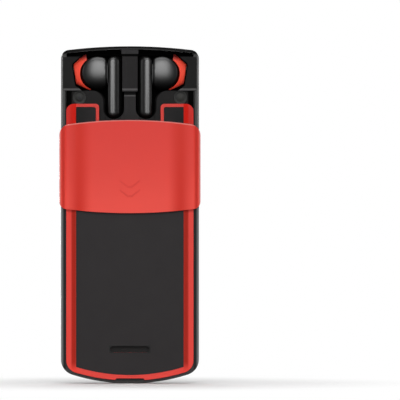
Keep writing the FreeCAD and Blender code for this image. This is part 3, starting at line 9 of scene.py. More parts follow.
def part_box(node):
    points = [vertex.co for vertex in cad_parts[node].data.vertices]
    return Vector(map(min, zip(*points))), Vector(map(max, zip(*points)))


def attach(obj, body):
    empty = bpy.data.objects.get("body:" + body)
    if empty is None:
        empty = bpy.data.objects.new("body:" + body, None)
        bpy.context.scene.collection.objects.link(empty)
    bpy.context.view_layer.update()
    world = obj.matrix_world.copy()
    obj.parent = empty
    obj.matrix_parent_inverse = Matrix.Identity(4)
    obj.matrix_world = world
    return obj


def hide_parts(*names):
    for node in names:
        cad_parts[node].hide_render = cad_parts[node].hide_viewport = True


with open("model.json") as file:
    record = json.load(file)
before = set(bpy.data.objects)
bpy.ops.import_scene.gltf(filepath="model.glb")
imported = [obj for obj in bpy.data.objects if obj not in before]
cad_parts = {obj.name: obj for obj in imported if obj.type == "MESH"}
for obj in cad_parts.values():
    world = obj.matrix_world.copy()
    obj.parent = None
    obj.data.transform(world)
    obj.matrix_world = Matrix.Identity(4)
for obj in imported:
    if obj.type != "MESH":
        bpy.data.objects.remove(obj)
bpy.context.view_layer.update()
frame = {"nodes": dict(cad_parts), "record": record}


# The studio: the phone stands on a pale table before a white backdrop, with its back to the camera.
# Lamps before it, behind it and at both sides light it evenly. Two big ones behind the camera, and a
# strip before its front, show in gloss alone and draw the highlights there.

MM = 0.001


class Wire:
    """One value in a node tree. Sums and products of wires add their Math nodes."""

    def __init__(self, tree, socket=None):
        self.tree = tree
        self.socket = socket

    def node(self, kind, settings=None, sockets=None, out=0):
        """Adds a node: its settings first, then the values or wires of its sockets."""
        made = self.tree.nodes.new("ShaderNode" + kind)
        for name, value in (settings or {}).items():
            setattr(made, name, value)
        for key, value in (sockets or {}).items():
            if isinstance(value, Wire):
                self.tree.links.new(value.socket, made.inputs[key])
            else:
                made.inputs[key].default_value = value
        return Wire(self.tree, made.outputs[out] if made.outputs else None)

    def output(self, out):
        return Wire(self.tree, self.socket.node.outputs[out])

    def math(self, operation, *terms):
        return self.node("Math", {"operation": operation}, dict(enumerate(terms)))

    def through(self, operation):
        """What a Math node makes of this wire alone, such as its square root."""
        return self.math(operation, self)

    def __add__(self, other):
        return self.math("ADD", self, other)

    def __radd__(self, other):
        return self.math("ADD", other, self)

    def __sub__(self, other):
        return self.math("SUBTRACT", self, other)

    def __rsub__(self, other):
        return self.math("SUBTRACT", other, self)

    def __mul__(self, other):
        return self.math("MULTIPLY", self, other)

    def __rmul__(self, other):
        return self.math("MULTIPLY", other, self)

    def __truediv__(self, other):
        return self.math("DIVIDE", self, other)

    def __pow__(self, power):
        return self.math("POWER", self, power)

    def __abs__(self):
        return self.through("ABSOLUTE")

    def larger(self, other):
        return self.math("MAXIMUM", self, other)

    def rise(self, low, high):
        """0 below low, 1 above high, and a smooth slope between them."""
        limits = {"Value": self, "From Min": low, "From Max": high}
        return self.node("MapRange", {"interpolation_type": "SMOOTHSTEP"}, limits)

    def within(self, middle, half, soft):
        """1 where this value lies less than half from the middle, with a soft edge."""
        return 1 - abs(self - middle).rise(half - soft, half + soft)

    def blend(self, first, second):
        """The first colour where this wire is 0, and the second where it is 1."""
        return self.node("Mix", {"data_type": "RGBA"}, {0: self, 6: first, 7: second}, out=2)


STUDIO_LEVEL = 0.42


def backdrop_strength(start):
    """1 for what the camera sees, also by way of gloss and glass, and less for light on the object."""
    path = start.node("LightPath", out="Is Camera Ray")
    seen = path.larger(path.output("Is Glossy Ray")).larger(path.output("Is Transmission Ray"))
    return STUDIO_LEVEL + seen * (1 - STUDIO_LEVEL)


world = bpy.data.worlds.new("studio")
world.use_nodes = True
world.node_tree.nodes.clear()
bpy.context.scene.world = world
air = Wire(world.node_tree)
sky = air.node("Background", {}, {"Color": (1, 1, 1, 1), "Strength": backdrop_strength(air)})
air.node("OutputWorld", {}, {"Surface": sky})

table_finish = bpy.data.materials.new("pale_table")
table_finish.use_nodes = True
table_finish.node_tree.nodes.clear()
paper = Wire(table_finish.node_tree)
spot = paper.node("TexCoord", out="Object")
distance = paper.node("VectorMath", {"operation": "LENGTH"}, {0: spot}, out="Value")
grain = paper.node("TexNoise", {}, {"Vector": spot, "Scale": 900.0, "Detail": 3.0})
matt = paper.node("BsdfDiffuse", {}, {"Color": grain.blend((0.86, 0.86, 0.86, 1), (0.92, 0.92, 0.92, 1))})
bright = paper.node("Emission", {}, {"Color": (1, 1, 1, 1), "Strength": backdrop_strength(paper)})
table_surface = paper.node("MixShader", {}, {0: distance.rise(0.035, 0.13), 1: matt, 2: bright})
paper.node("OutputMaterial", {}, {"Surface": table_surface})

table_top = bmesh.new()
bmesh.ops.create_grid(table_top, x_segments=8, y_segments=8, size=6.0)
table_mesh = bpy.data.meshes.new("table")
table_top.to_mesh(table_mesh)
table_top.free()
table_mesh.materials.append(table_finish)
table = bpy.data.objects.new("table", table_mesh)
bpy.context.scene.collection.objects.link(table)

LAMPS = [
    # name, place, width, height, watts, and whether it lights matt surfaces too
    ("lamp_over_camera", (0.0, 0.95, 0.60), 0.80, 0.35, 5.0, True),
    ("softbox_over_camera", (0.0, 0.60, 1.05), 1.00, 0.70, 26.0, False),
    ("strip_behind_camera", (0.0, 1.25, 0.36), 0.80, 0.85, 58.0, False),
    ("lamp_over_front", (0.10, -0.95, 0.60), 0.80, 0.35, 5.0, True),
    ("strip_beside_front", (0.30, -1.30, 0.16), 0.12, 0.55, 4.0, False),
    ("lamp_left", (1.10, 0.12, 0.30), 0.40, 0.60, 3.6, True),
    ("lamp_right", (-1.10, 0.12, 0.30), 0.40, 0.60, 3.0, True),
]
for lamp_name, lamp_place, lamp_width, lamp_height, watts, lights_matt in LAMPS:
    lamp_data = bpy.data.lights.new(lamp_name, "AREA")
    lamp_data.shape = "RECTANGLE"
    lamp_data.size = lamp_width
    lamp_data.size_y = lamp_height
    lamp_data.energy = watts
    lamp = bpy.data.objects.new(lamp_name, lamp_data)
    lamp.location = lamp_place
    lamp.rotation_euler = (Vector((0, 0, 0.07)) - Vector(lamp_place)).to_track_quat("-Z", "Y").to_euler()
    lamp.visible_camera = False
    lamp.visible_diffuse = lights_matt
    bpy.context.scene.collection.objects.link(lamp)

camera_data = bpy.data.cameras.new("camera")
camera_data.sensor_width = 36.0
camera_data.lens = 675.0
camera = bpy.data.objects.new("camera", camera_data)
camera.location = (-0.0280, 3.0, 0.0733)
camera.rotation_euler = (math.pi / 2, 0, math.pi)
bpy.context.scene.collection.objects.link(camera)
bpy.context.scene.camera = camera
bpy.context.scene.view_settings.view_transform = "Standard"


# The sliding cover is one red moulding of polycarbonate, a millimetre thick, satin outside.
# Two chevrons pressed into it show the thumb where to push. Its lips run in grooves along the housing.

body_of = {node: body for body, nodes in frame["record"]["behaviour"]["bodies"].items() for node in nodes}


def new_finish(name):
    """An empty material, and the wire that its nodes are added from."""
    finish = bpy.data.materials.new(name)
    finish.use_nodes = True
    finish.node_tree.nodes.clear()
    return finish, Wire(finish.node_tree)


def close_finish(start, sockets, painted_shade=None):
    """Ends a finish. Where the wire for painted shade is 1, the surface is painted all but black, as painted
    shade where no light would get in.
    """
    surface = start.node("BsdfPrincipled", {}, sockets)
    if painted_shade:
        lightless = {"Base Color": (0.003, 0.003, 0.003, 1), "Specular IOR Level": 0.0, "Roughness": 0.8}
        black = start.node("BsdfPrincipled", {}, lightless)
        surface = start.node("MixShader", {}, {0: painted_shade, 1: surface, 2: black})
    start.node("OutputMaterial", {}, {"Surface": surface})


def place_in(start):
    """Where a point lies on the piece, as one vector and as its three lengths in metres."""
    place = start.node("TexCoord", out="Object")
    x = start.node("SeparateXYZ", {}, {0: place})
    return place, x, x.output(1), x.output(2)


def tinted(colour, factor):
    return tuple(min(1.0, part * factor) for part in colour[:3]) + (1.0,)


def plastic_sockets(start, place, colour, roughness, specular, grain=0.3, clouding=0.06):
    """Moulded plastic: slightly cloudy in colour, rubbed here and there, with the fine grain of its tool."""
    cloud = start.node("TexNoise", {}, {"Vector": place, "Scale": 55.0, "Detail": 4.0})
    rubbed = start.node("TexNoise", {}, {"Vector": place, "Scale": 260.0, "Detail": 6.0, "Roughness": 0.65})
    fine = start.node("TexNoise", {}, {"Vector": place, "Scale": 1.0 / (grain * MM), "Detail": 2.0})
    return {
        "Base Color": cloud.blend(tinted(colour, 1 - clouding), tinted(colour, 1 + clouding)),
        "Roughness": roughness + (rubbed - 0.5) * 0.15,
        "Specular IOR Level": specular,
        "Normal": start.node("Bump", {}, {"Strength": 0.12, "Distance": 0.02 * MM, "Height": fine}),
    }


def plastic(name, colour, roughness, specular, grain=0.3):
    finish, start = new_finish(name)
    place = start.node("TexCoord", out="Object")
    close_finish(start, plastic_sockets(start, place, colour, roughness, specular, grain))
    return finish


def dress(node, finish, edge=0.12, sharp=32):
    """Stands in for a CAD piece with the same shape: merged, smooth on its curves, softened at its edges."""
    mesh = frame["nodes"][node].data.copy()
    if "custom_normal" in mesh.attributes:
        mesh.attributes.remove(mesh.attributes["custom_normal"])
    merged = bmesh.new()
    merged.from_mesh(mesh)
    bmesh.ops.remove_doubles(merged, verts=merged.verts, dist=1e-6)
    bmesh.ops.dissolve_limit(merged, angle_limit=math.radians(0.2), verts=merged.verts, edges=merged.edges)
    merged.to_mesh(mesh)
    merged.free()
    mesh.shade_smooth()
    mesh.set_sharp_from_angle(angle=math.radians(sharp))
    mesh.materials.clear()
    mesh.materials.append(finish)
    piece = bpy.data.objects.new(node + "_dressed", mesh)
    bpy.context.scene.collection.objects.link(piece)
    if edge:
        softened = piece.modifiers.new("soft_edges", "BEVEL")
        softened.limit_method = "ANGLE"
        softened.angle_limit = math.radians(sharp)
        softened.width = edge * MM
        softened.segments = 2
    weighted = piece.modifiers.new("flat_faces", "WEIGHTED_NORMAL")
    weighted.keep_sharp = True
    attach(piece, body_of[node])
    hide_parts(node)
    return piece


CORAL_RED = (0.86, 0.066, 0.047, 1)
cover_finish, start = new_finish("red_cover")
place, x, y, z = place_in(start)
cover_low, cover_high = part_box("slider_cover")
cover_sockets = plastic_sockets(start, place, CORAL_RED, 0.42, 0.03)
# Painted light and shade: the cover is painted lighter toward its foot and darker toward its top, and darker
# in a band over each shoulder and near each side edge.
painted_light_toward_foot = 1 - z.rise(cover_low.z - 6 * MM, cover_high.z + 8 * MM)
cover_colour = painted_light_toward_foot.blend((0.74, 0.040, 0.029, 1), cover_sockets["Base Color"])
cover_colour = painted_light_toward_foot.rise(0.6, 1.4).blend(cover_colour, (0.95, 0.088, 0.064, 1))
painted_shoulder_shade = abs(x).within(20.3 * MM, 2.9 * MM, 2.9 * MM)
edge_shade = abs(x).within(26.6 * MM, 0.6 * MM, 0.5 * MM)
cover_colour = painted_shoulder_shade.blend(cover_colour, (0.665, 0.027, 0.014, 1))
cover_colour = edge_shade.blend(cover_colour, (0.56, 0.036, 0.026, 1))
# The chevrons' pressed-in grooves are painted darker, as painted shade.
chevrons = abs(x).within(0, 4.2 * MM, 0.05 * MM) * y.within(7.62 * MM, 0.09 * MM, 0.01 * MM)
chevrons = chevrons * z.within(cover_low.z + 10 * MM, 8 * MM, 0.1 * MM)
cover_colour = chevrons.blend(cover_colour, (0.78, 0.056, 0.042, 1))
# Painted highlights along the cover's arched top edge and along its outer side edges.
painted_top_highlight = (z + x * x * 2.96).rise(cover_high.z - 0.45 * MM, cover_high.z - 0.2 * MM)
painted_side_edge_highlight = abs(x).rise(27.3 * MM, 27.8 * MM)
cover_sockets["Base Color"] = painted_top_highlight.larger(painted_side_edge_highlight).blend(cover_colour, (0.80, 0.220, 0.195, 1))
close_finish(start, cover_sockets)
dress("slider_cover", cover_finish, edge=0.18)


# The battery cover is moulded in two shots: a red trim that wraps round the sides and foot and runs up
# in two ears beside the earbuds, and a dark panel set into it. A finger notch at its foot lets it off.

TRIM_RED = (0.79, 0.055, 0.041, 1)
trim_finish, start = new_finish("red_trim")
place, x, y, z = place_in(start)
trim_sockets = plastic_sockets(start, place, TRIM_RED, 0.42, 0.03)
at_ears = z.rise(100 * MM, 102 * MM)
# Painted shade: the sloping shoulder beside the panel is painted darker below the ears.
slope = abs(x).within(22.35 * MM, 0.95 * MM, 0.45 * MM) * (1 - at_ears) * z.rise(5 * MM, 9 * MM)
ear_band = abs(x).rise(21.2 * MM, 21.6 * MM) * at_ears
ear_frame = (1 - abs(x).rise(21.0 * MM, 21.4 * MM)) * at_ears
trim_colour = slope.blend(trim_sockets["Base Color"], (0.39, 0.021, 0.012, 1))
trim_colour = ear_frame.blend(trim_colour, (0.66, 0.040, 0.030, 1))
trim_sockets["Base Color"] = ear_band.blend(trim_colour, (0.60, 0.012, 0.006, 1))
close_finish(start, trim_sockets)
dress("battery_cover_trim", trim_finish, edge=0.15)

panel_finish, start = new_finish("dark_panel")
place, x, y, z = place_in(start)
panel_sockets = plastic_sockets(start, place, (0.0195, 0.0170, 0.0178, 1), 0.50, 0.026, grain=0.22)
# Painted shade: the finger slot is painted darker than the panel round it.
painted_slot_shade = x.within(0, 8.3 * MM, 0.1 * MM) * z.within(13.7 * MM, 1.6 * MM, 0.1 * MM)
panel_colour = painted_slot_shade.blend(panel_sockets["Base Color"], (0.013, 0.013, 0.013, 1))
# Painted shade: between the ears the panel is painted darker, and near black toward each ear.
between_ears = z.rise(96 * MM, 100 * MM)
shaded = between_ears.blend(panel_colour, (0.006, 0.0045, 0.005, 1))
painted_shade_by_ears = between_ears * abs(x).rise(13.0 * MM, 21.0 * MM)
panel_sockets["Base Color"] = painted_shade_by_ears.blend(shaded, (0.0005, 0.0004, 0.0004, 1))
close_finish(start, panel_sockets)
dress("battery_cover_panel", panel_finish, edge=0.15)


# The two housings are dark polycarbonate shells, screwed together from behind. The rear one carries the
# rails for the cover and the bay for the earbuds, the front one the glass, the keys and the side keys.

CHARCOAL = (0.016, 0.015, 0.015, 1)
rear_finish, start = new_finish("dark_shell_rear")
place, x, y, z = place_in(start)
rear_sockets = plastic_sockets(start, place, CHARCOAL, 0.42, 0.045)
above_cover = z.rise(96 * MM, 100 * MM)
rear_side = y.rise(0, 1 * MM)
beside_bay = above_cover * (1 - z.rise(129 * MM, 131 * MM)) * rear_side
# Painted highlights: a light rim along each outer edge beside the bay, the tops of the rails there, and the
# rounded sides below the cover.
painted_rim_highlight = abs(x).rise(27.0 * MM, 27.4 * MM) * beside_bay
painted_rail_highlight = abs(x).within(26.5 * MM, 0.55 * MM, 0.2 * MM) * beside_bay * (1 - z.rise(117.0 * MM, 117.6 * MM))
painted_side_highlight = abs(x).rise(26.2 * MM, 27.6 * MM) * (1 - above_cover) * rear_side
rear_colour = painted_side_highlight.blend(rear_sockets["Base Color"], (0.210, 0.212, 0.216, 1))
rear_colour = painted_rail_highlight.blend(rear_colour, (0.065, 0.065, 0.065, 1))
rear_sockets["Base Color"] = painted_rim_highlight.blend(rear_colour, (0.22, 0.22, 0.22, 1))
# Painted shade: the top rim of the housing is painted near black.
crown = (z + x * x * 2.88).rise(133.6 * MM, 134.0 * MM) * 0.85
close_finish(start, rear_sockets, painted_shade=crown)
dress("rear_housing", rear_finish, edge=0.15)

shell_finish, start = new_finish("dark_shell")
place, x, y, z = place_in(start)
shell_sockets = plastic_sockets(start, place, CHARCOAL, 0.42, 0.20)
front_side = 1 - y.rise(-3.5 * MM, -2.5 * MM)
# Painted shade beside the keypad, and a painted highlight on the rounded long edges of the front.
painted_shade_beside_keys = abs(x).within(23.9 * MM, 0.8 * MM, 0.5 * MM) * front_side * z.rise(4.5 * MM, 8 * MM)
shell_colour = painted_shade_beside_keys.blend(shell_sockets["Base Color"], (0.006, 0.006, 0.006, 1))
rounding = abs(x).rise(24.0 * MM, 27.6 * MM) * front_side
shell_sockets["Base Color"] = rounding.blend(shell_colour, (0.150, 0.142, 0.142, 1))
# Painted shade: the microphone hole below the keys is painted near black.
hole_across = x.within(-7.35 * MM, 0.75 * MM, 0.15 * MM)
painted_hole_shade = hole_across * z.within(6.7 * MM, 0.45 * MM, 0.15 * MM) * front_side
close_finish(start, shell_sockets, painted_shade=painted_hole_shade)
dress("front_housing", shell_finish, edge=0.12)


# The bay's insert is one more moulding, in satin black, with a pocket for each earbud and a bridge
# between them. It is pressed into the rear housing over its clips.

tray_finish, start = new_finish("tray_black")
place, x, y, z = place_in(start)
tray_sockets = plastic_sockets(start, place, (0.0062, 0.0058, 0.0059, 1), 0.58, 0.020)
across = abs(x)
# Painted light and shade: this one black moulding is painted lighter on the lower decks, the bridge, the rib
# below it and the top of the bridge.
lower = 1 - z.rise(116.6 * MM, 117.0 * MM)
tray_colour = lower.blend(tray_sockets["Base Color"], (0.0115, 0.0110, 0.0112, 1))
bridge = 1 - across.rise(3.3 * MM, 3.5 * MM)
tray_colour = bridge.blend(tray_colour, (0.0150, 0.0138, 0.0142, 1))
tray_colour = (bridge * lower).blend(tray_colour, (0.0235, 0.0220, 0.0226, 1))
# Painted highlights on the edge of the step down to the lower decks and on the edge of the notch below the
# bridge.
step = z.within(117.45 * MM, 0.40 * MM, 0.15 * MM) * y.rise(4.1 * MM, 4.3 * MM)
notch_across = 1 - across.rise(2.3 * MM, 2.5 * MM)
notch = z.within(115.05 * MM, 0.32 * MM, 0.12 * MM) * notch_across * y.rise(2.9 * MM, 3.2 * MM)
bridge_top = bridge * z.rise(131.5 * MM, 131.8 * MM)
lit = step.larger(notch)
tray_colour = bridge_top.blend(tray_colour, (0.026, 0.025, 0.026, 1))
tray_sockets["Base Color"] = lit.blend(tray_colour, (0.085, 0.082, 0.083, 1))
# Painted shade: near black deep in the pockets, in the gutter beside each rail and under the crown, but not
# on the painted highlights.
deep = 1 - y.rise(-1.0 * MM, 3.1 * MM)
painted_gutter_shadow = across.within(24.4 * MM, 1.25 * MM, 0.4 * MM) * lower
painted_shade_under_crown = z.rise(130.4 * MM, 130.9 * MM) * (1 - bridge_top)
close_finish(start, tray_sockets, painted_shade=deep.larger(painted_gutter_shadow).larger(painted_shade_under_crown) * (1 - lit))
dress("earbud_tray", tray_finish, edge=0.12)


# The camera and the flash look out through two round windows in the lower decks of the bay: a dark
# acrylic disc with a printed ring and a clear middle, glued in flush. The flash has ringed facets.

def finished_piece(name, work, finish, body, nodes=(), sharp=35):
    """Puts a finished mesh into the scene, on its body and in the place of its CAD nodes."""
    bmesh.ops.recalc_face_normals(work, faces=work.faces)
    mesh = bpy.data.meshes.new(name)
    work.to_mesh(mesh)
    work.free()
    mesh.shade_smooth()
    mesh.set_sharp_from_angle(angle=math.radians(sharp))
    mesh.materials.append(finish)
    piece = bpy.data.objects.new(name, mesh)
    bpy.context.scene.collection.objects.link(piece)
    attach(piece, body)
    if nodes:
        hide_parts(*nodes)
    return piece


def turned(profile, steps, turn):
    """A turned shape: a profile of (radius, height) in mm, spun round its own axis and then placed."""
    work = bmesh.new()
    spots = [work.verts.new((radius * MM, 0, height * MM)) for radius, height in profile]
    edges = [work.edges.new(pair) for pair in zip(spots, spots[1:])]
    bmesh.ops.spin(
        work, geom=spots + edges, cent=(0, 0, 0), axis=(0, 0, 1), angle=math.tau, steps=steps, use_merge=True
    )
    bmesh.ops.remove_doubles(work, verts=work.verts, dist=1e-7)
    bmesh.ops.transform(work, matrix=turn, verts=work.verts)
    return work


def window_finish(name, middle_x, middle_z, rings):
    finish, start = new_finish(name)
    place, x, y, z = place_in(start)
    off_x = x - middle_x
    off_z = z - middle_z
    radius = (off_x * off_x + off_z * off_z).through("SQRT")
    ring = radius.within(1.75 * MM, 0.12 * MM, 0.03 * MM)
    pupil = 1 - radius.rise(0.55 * MM, 0.65 * MM)
    facets = (radius * (math.tau / (0.32 * MM))).through("SINE")
    inner = 1 - radius.rise(1.5 * MM, 1.6 * MM)
    glow = inner * (facets * 0.5 + 0.5) if rings else pupil
    light = (0.027, 0.027, 0.023, 1) if rings else (0.010, 0.010, 0.013, 1)
    dark = ring.blend((0.0165, 0.0170, 0.0160, 1), (0.0215, 0.0215, 0.0210, 1))
    grain = start.node("TexNoise", {}, {"Vector": place, "Scale": 700.0, "Detail": 3.0})
    close_finish(start, {
        "Base Color": glow.blend(dark, light),
        "Roughness": 0.40 + 0.12 * grain,
        "Specular IOR Level": 0.03,
    })
    return finish


for window_node, ringed in (("camera_window", False), ("flash_window", True)):
    low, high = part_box(window_node)
    middle = (low + high) / 2
    reach = (high.x - low.x) / 2 / MM
    deep = (high.y - low.y) / MM
    faced = Matrix.Translation((middle.x, high.y, middle.z)) @ Matrix.Rotation(math.radians(-90), 4, "X")
    ring_groove = [(1.5, 0), (1.62, -0.05), (1.85, -0.05), (1.97, 0)]
    rim = [(reach - 0.1, 0), (reach, -0.1), (reach, -deep)]
    disc = turned([(0, 0)] + ring_groove + rim + [(0, -deep)], 64, faced)
    finish = window_finish(window_node + "_finish", middle.x, middle.z, ringed)
    finished_piece(window_node + "_disc", disc, finish, "phone", [window_node])


# Each earbud is a gloss black shell of two halves: a flattened bulb that holds the driver, and a stem
# with its battery and microphone. The halves are snapped together and meet in a fine seam all round.

def bud_finish(name, stem_x):
    finish, start = new_finish(name)
    place, x, y, z = place_in(start)
    seam = y.within(2.1 * MM, 0.07 * MM, 0.03 * MM)
    stem_foot = 1 - z.rise(107.0 * MM, 107.3 * MM)
    # The hole at the stem's foot is only a painted darker spot, painted shade.
    hole = x.within(stem_x, 0.45 * MM, 0.05 * MM) * y.within(3.4 * MM, 0.25 * MM, 0.05 * MM) * stem_foot
    smudge = start.node("TexNoise", {}, {"Vector": place, "Scale": 180.0, "Detail": 5.0})
    # Painted shade: the lower part of each bulb is painted near black.
    painted_shade_underside = (1 - z.rise(118.2 * MM, 123.2 * MM)) * abs(x).rise(8.8 * MM, 9.3 * MM) * 0.97
    close_finish(start, {
        "Base Color": seam.larger(hole).blend((0.0025, 0.0024, 0.0024, 1), (0.0005, 0.0005, 0.0005, 1)),
        "Roughness": 0.30 + smudge * 0.03,
        "Specular IOR Level": 0.15,
        "Normal": start.node("Bump", {}, {"Strength": 0.6, "Distance": 0.05 * MM, "Height": 1 - seam}),
    }, painted_shade=painted_shade_underside)
    return finish


def at(x, y, z):
    """A move to a place given in mm."""
    return Matrix.Translation((x * MM, y * MM, z * MM))


def round_off(work, edges, radius, segments):
    """Rounds edges to a radius in mm."""
    bmesh.ops.bevel(
        work, geom=edges, offset=radius * MM, segments=segments, profile=0.5, affect="EDGES", material=-1
    )


def add_shape(work, part):
    """Adds one shape to another, and frees it."""
    mesh = bpy.data.meshes.new("part")
    part.to_mesh(mesh)
    part.free()
    work.from_mesh(mesh)
    bpy.data.meshes.remove(mesh)


BULB_X, BULB_Z, BULB_RADIUS, BULB_CUT_X, BULB_SHEAR = 13.3, 123.85, 6.55, 9.25, 0.22
DOME = [
    # radius and height, from the middle of the bulb's face to its rim
    (0, 3.85), (1.3, 3.81), (2.6, 3.70), (3.6, 3.55), (4.6, 3.33),
    (5.3, 3.11), (5.85, 2.85), (6.22, 2.52), (6.45, 2.05), (6.53, 1.4),
]
BUD_MIDDLE = 2.1
STEM_IN, STEM_OUT, STEM_LOW, STEM_HIGH = 3.25, 8.3, 106.0, 130.8
STEM_BACK, STEM_DEEP, STEM_ROUNDING, STEM_SHEAR = -1.8, 7.4, 2.05, 0.34
NECK_X, NECK_Y, NECK_Z = 8.7, 0.6, 123.6
NECK_WIDE, NECK_DEEP, NECK_TALL = 2.6, 3.6, 8.6
for bud in ("earbud_left", "earbud_right"):
    low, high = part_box(f"{bud}_shell")
    side = 1 if low.x + high.x > 0 else -1
    stem_x = side * (STEM_IN + STEM_OUT) / 2 * MM
    finish = bud_finish(bud.replace("earbud", "bud_black"), stem_x)

    leaned = Matrix.Identity(4)
    leaned[0][1] = -side * BULB_SHEAR
    leaned[2][1] = 0.20
    put = at(side * BULB_X, BUD_MIDDLE, BULB_Z)
    faced = Matrix.Rotation(math.radians(-90), 4, "X")
    far_half = [(radius, -height) for radius, height in reversed(DOME)]
    bulb = turned(DOME + [(BULB_RADIUS, 0)] + far_half, 72, put @ leaned @ faced)
    bmesh.ops.recalc_face_normals(bulb, faces=bulb.faces)
    for cut_x in (9.95, 9.70, 9.45, BULB_CUT_X):
        cut = bmesh.ops.bisect_plane(
            bulb,
            geom=bulb.verts[:] + bulb.edges[:] + bulb.faces[:],
            plane_co=(side * cut_x * MM, 0, 0),
            plane_no=(-side, 0, 0),
            clear_outer=cut_x == BULB_CUT_X,
        )
    rim = [part for part in cut["geom_cut"] if isinstance(part, bmesh.types.BMEdge)]
    bmesh.ops.contextual_create(bulb, geom=rim)
    for vert in bulb.verts:
        nearness = max(0, 1 - (side * vert.co.x / MM - BULB_CUT_X) / 0.7)
        rounding = 1 - 0.12 * nearness ** 2
        vert.co.y = (BUD_MIDDLE + (vert.co.y / MM - BUD_MIDDLE) * rounding) * MM
        vert.co.z = (BULB_Z + (vert.co.z / MM - BULB_Z) * rounding) * MM

    stem = bmesh.new()
    half = (STEM_OUT - STEM_IN) / 2
    half_step = Matrix.Rotation(math.pi / 40, 4, "Z")
    bmesh.ops.create_circle(stem, cap_ends=True, segments=40, radius=half * MM, matrix=half_step)
    upper = [vert for vert in stem.verts if vert.co.y > 0]
    bmesh.ops.translate(stem, verts=upper, vec=(0, (STEM_HIGH - STEM_LOW - 2 * half) * MM, 0))
    wall = bmesh.ops.extrude_face_region(stem, geom=stem.faces[:])
    far_verts = [part for part in wall["geom"] if isinstance(part, bmesh.types.BMVert)]
    bmesh.ops.translate(stem, verts=far_verts, vec=(0, 0, -STEM_DEEP * MM))
    rims = [edge for edge in stem.edges if abs(edge.verts[0].co.z - edge.verts[1].co.z) < 1e-7]
    round_off(stem, rims, STEM_ROUNDING, 7)
    upright = Matrix.Rotation(math.radians(90), 4, "X")
    bmesh.ops.transform(stem, matrix=upright, verts=stem.verts)
    lowest = min(vert.co.y for vert in stem.verts)
    put = Matrix.Translation((stem_x, STEM_BACK * MM - lowest, (STEM_LOW + half) * MM))
    bmesh.ops.transform(stem, matrix=put, verts=stem.verts)
    leaned = Matrix.Identity(4)
    leaned[0][1] = side * STEM_SHEAR
    around = at(0, BUD_MIDDLE, 0)
    bmesh.ops.transform(stem, matrix=around @ leaned @ around.inverted(), verts=stem.verts)

    neck = bmesh.new()
    sized = Matrix.Diagonal((NECK_WIDE * MM, NECK_DEEP * MM, NECK_TALL * MM, 1))
    bmesh.ops.create_cube(neck, size=1.0, matrix=at(side * NECK_X, NECK_Y, NECK_Z) @ sized)
    round_off(neck, neck.edges[:], 0.9, 4)

    shell = bmesh.new()
    for part in (bulb, stem, neck):
        add_shape(shell, part)
    finished_piece(f"{bud}_gloss_shell", shell, finish, bud, [f"{bud}_shell"], sharp=50)


# The ear tips are soft red silicone domes, pushed over the nozzle of each bulb. They are flattened
# here through the phone's back, as they are squeezed a little in their pockets.

tip_finish, start = new_finish("ear_tip_red")
place, x, y, z = place_in(start)
dust = start.node("TexNoise", {}, {"Vector": place, "Scale": 420.0, "Detail": 5.0})
tip_red = dust.blend((0.92, 0.064, 0.032, 1), (0.99, 0.080, 0.042, 1))
# Painted shade: the tip is painted dark toward its top, under the crown.
painted_shade_under_crown = z.rise(128.4 * MM, 130.8 * MM)
close_finish(start, {
    "Base Color": painted_shade_under_crown.blend(tip_red, (0.12, 0.006, 0.004, 1)),
    "Roughness": 0.48 + dust * 0.12,
    "Specular IOR Level": 0.07,
    "Subsurface Weight": 0.05,
    "Subsurface Scale": 0.001,
    "Normal": start.node("Bump", {}, {"Strength": 0.1, "Distance": 0.02 * MM, "Height": dust}),
})

mesh_finish, start = new_finish("nozzle_mesh")
place, x, y, z = place_in(start)
across = abs((z / (0.34 * MM)).through("FRACT") - 0.5)
along = abs((y / (0.34 * MM)).through("FRACT") - 0.5)
hole = 1 - (across * across + along * along).rise(0.07, 0.10)
close_finish(start, {
    "Base Color": hole.blend((0.30, 0.30, 0.31, 1), (0.004, 0.004, 0.004, 1)),
    "Metallic": 1 - hole,
    "Roughness": 0.3 + hole * 0.5,
    "Normal": start.node("Bump", {}, {"Strength": 0.5, "Distance": 0.05 * MM, "Height": 1 - hole}),
})


def bored(work, name, place, radius):
    """The mesh with a round bore along Y taken out of it at a place."""
    def temporary(part, kind):
        mesh = bpy.data.meshes.new(kind)
        part.to_mesh(mesh)
        part.free()
        made = bpy.data.objects.new(kind, mesh)
        bpy.context.scene.collection.objects.link(made)
        return made

    bmesh.ops.recalc_face_normals(work, faces=work.faces)
    drill = bmesh.new()
    upright = place @ Matrix.Rotation(math.radians(90), 4, "X")
    bmesh.ops.create_cone(
        drill, cap_ends=True, segments=96, radius1=radius, radius2=radius, depth=0.04, matrix=upright
    )
    blank = temporary(work, name + "_blank")
    cutter = temporary(drill, name + "_cutter")
    cut = blank.modifiers.new("bore", "BOOLEAN")
    cut.operation = "DIFFERENCE"
    cut.object = cutter
    cut.solver = "EXACT"
    bpy.context.view_layer.update()
    result = bpy.data.meshes.new_from_object(blank.evaluated_get(bpy.context.evaluated_depsgraph_get()))
    bpy.data.objects.remove(blank)
    bpy.data.objects.remove(cutter)
    bored_work = bmesh.new()
    bored_work.from_mesh(result)
    bpy.data.meshes.remove(result)
    return bored_work


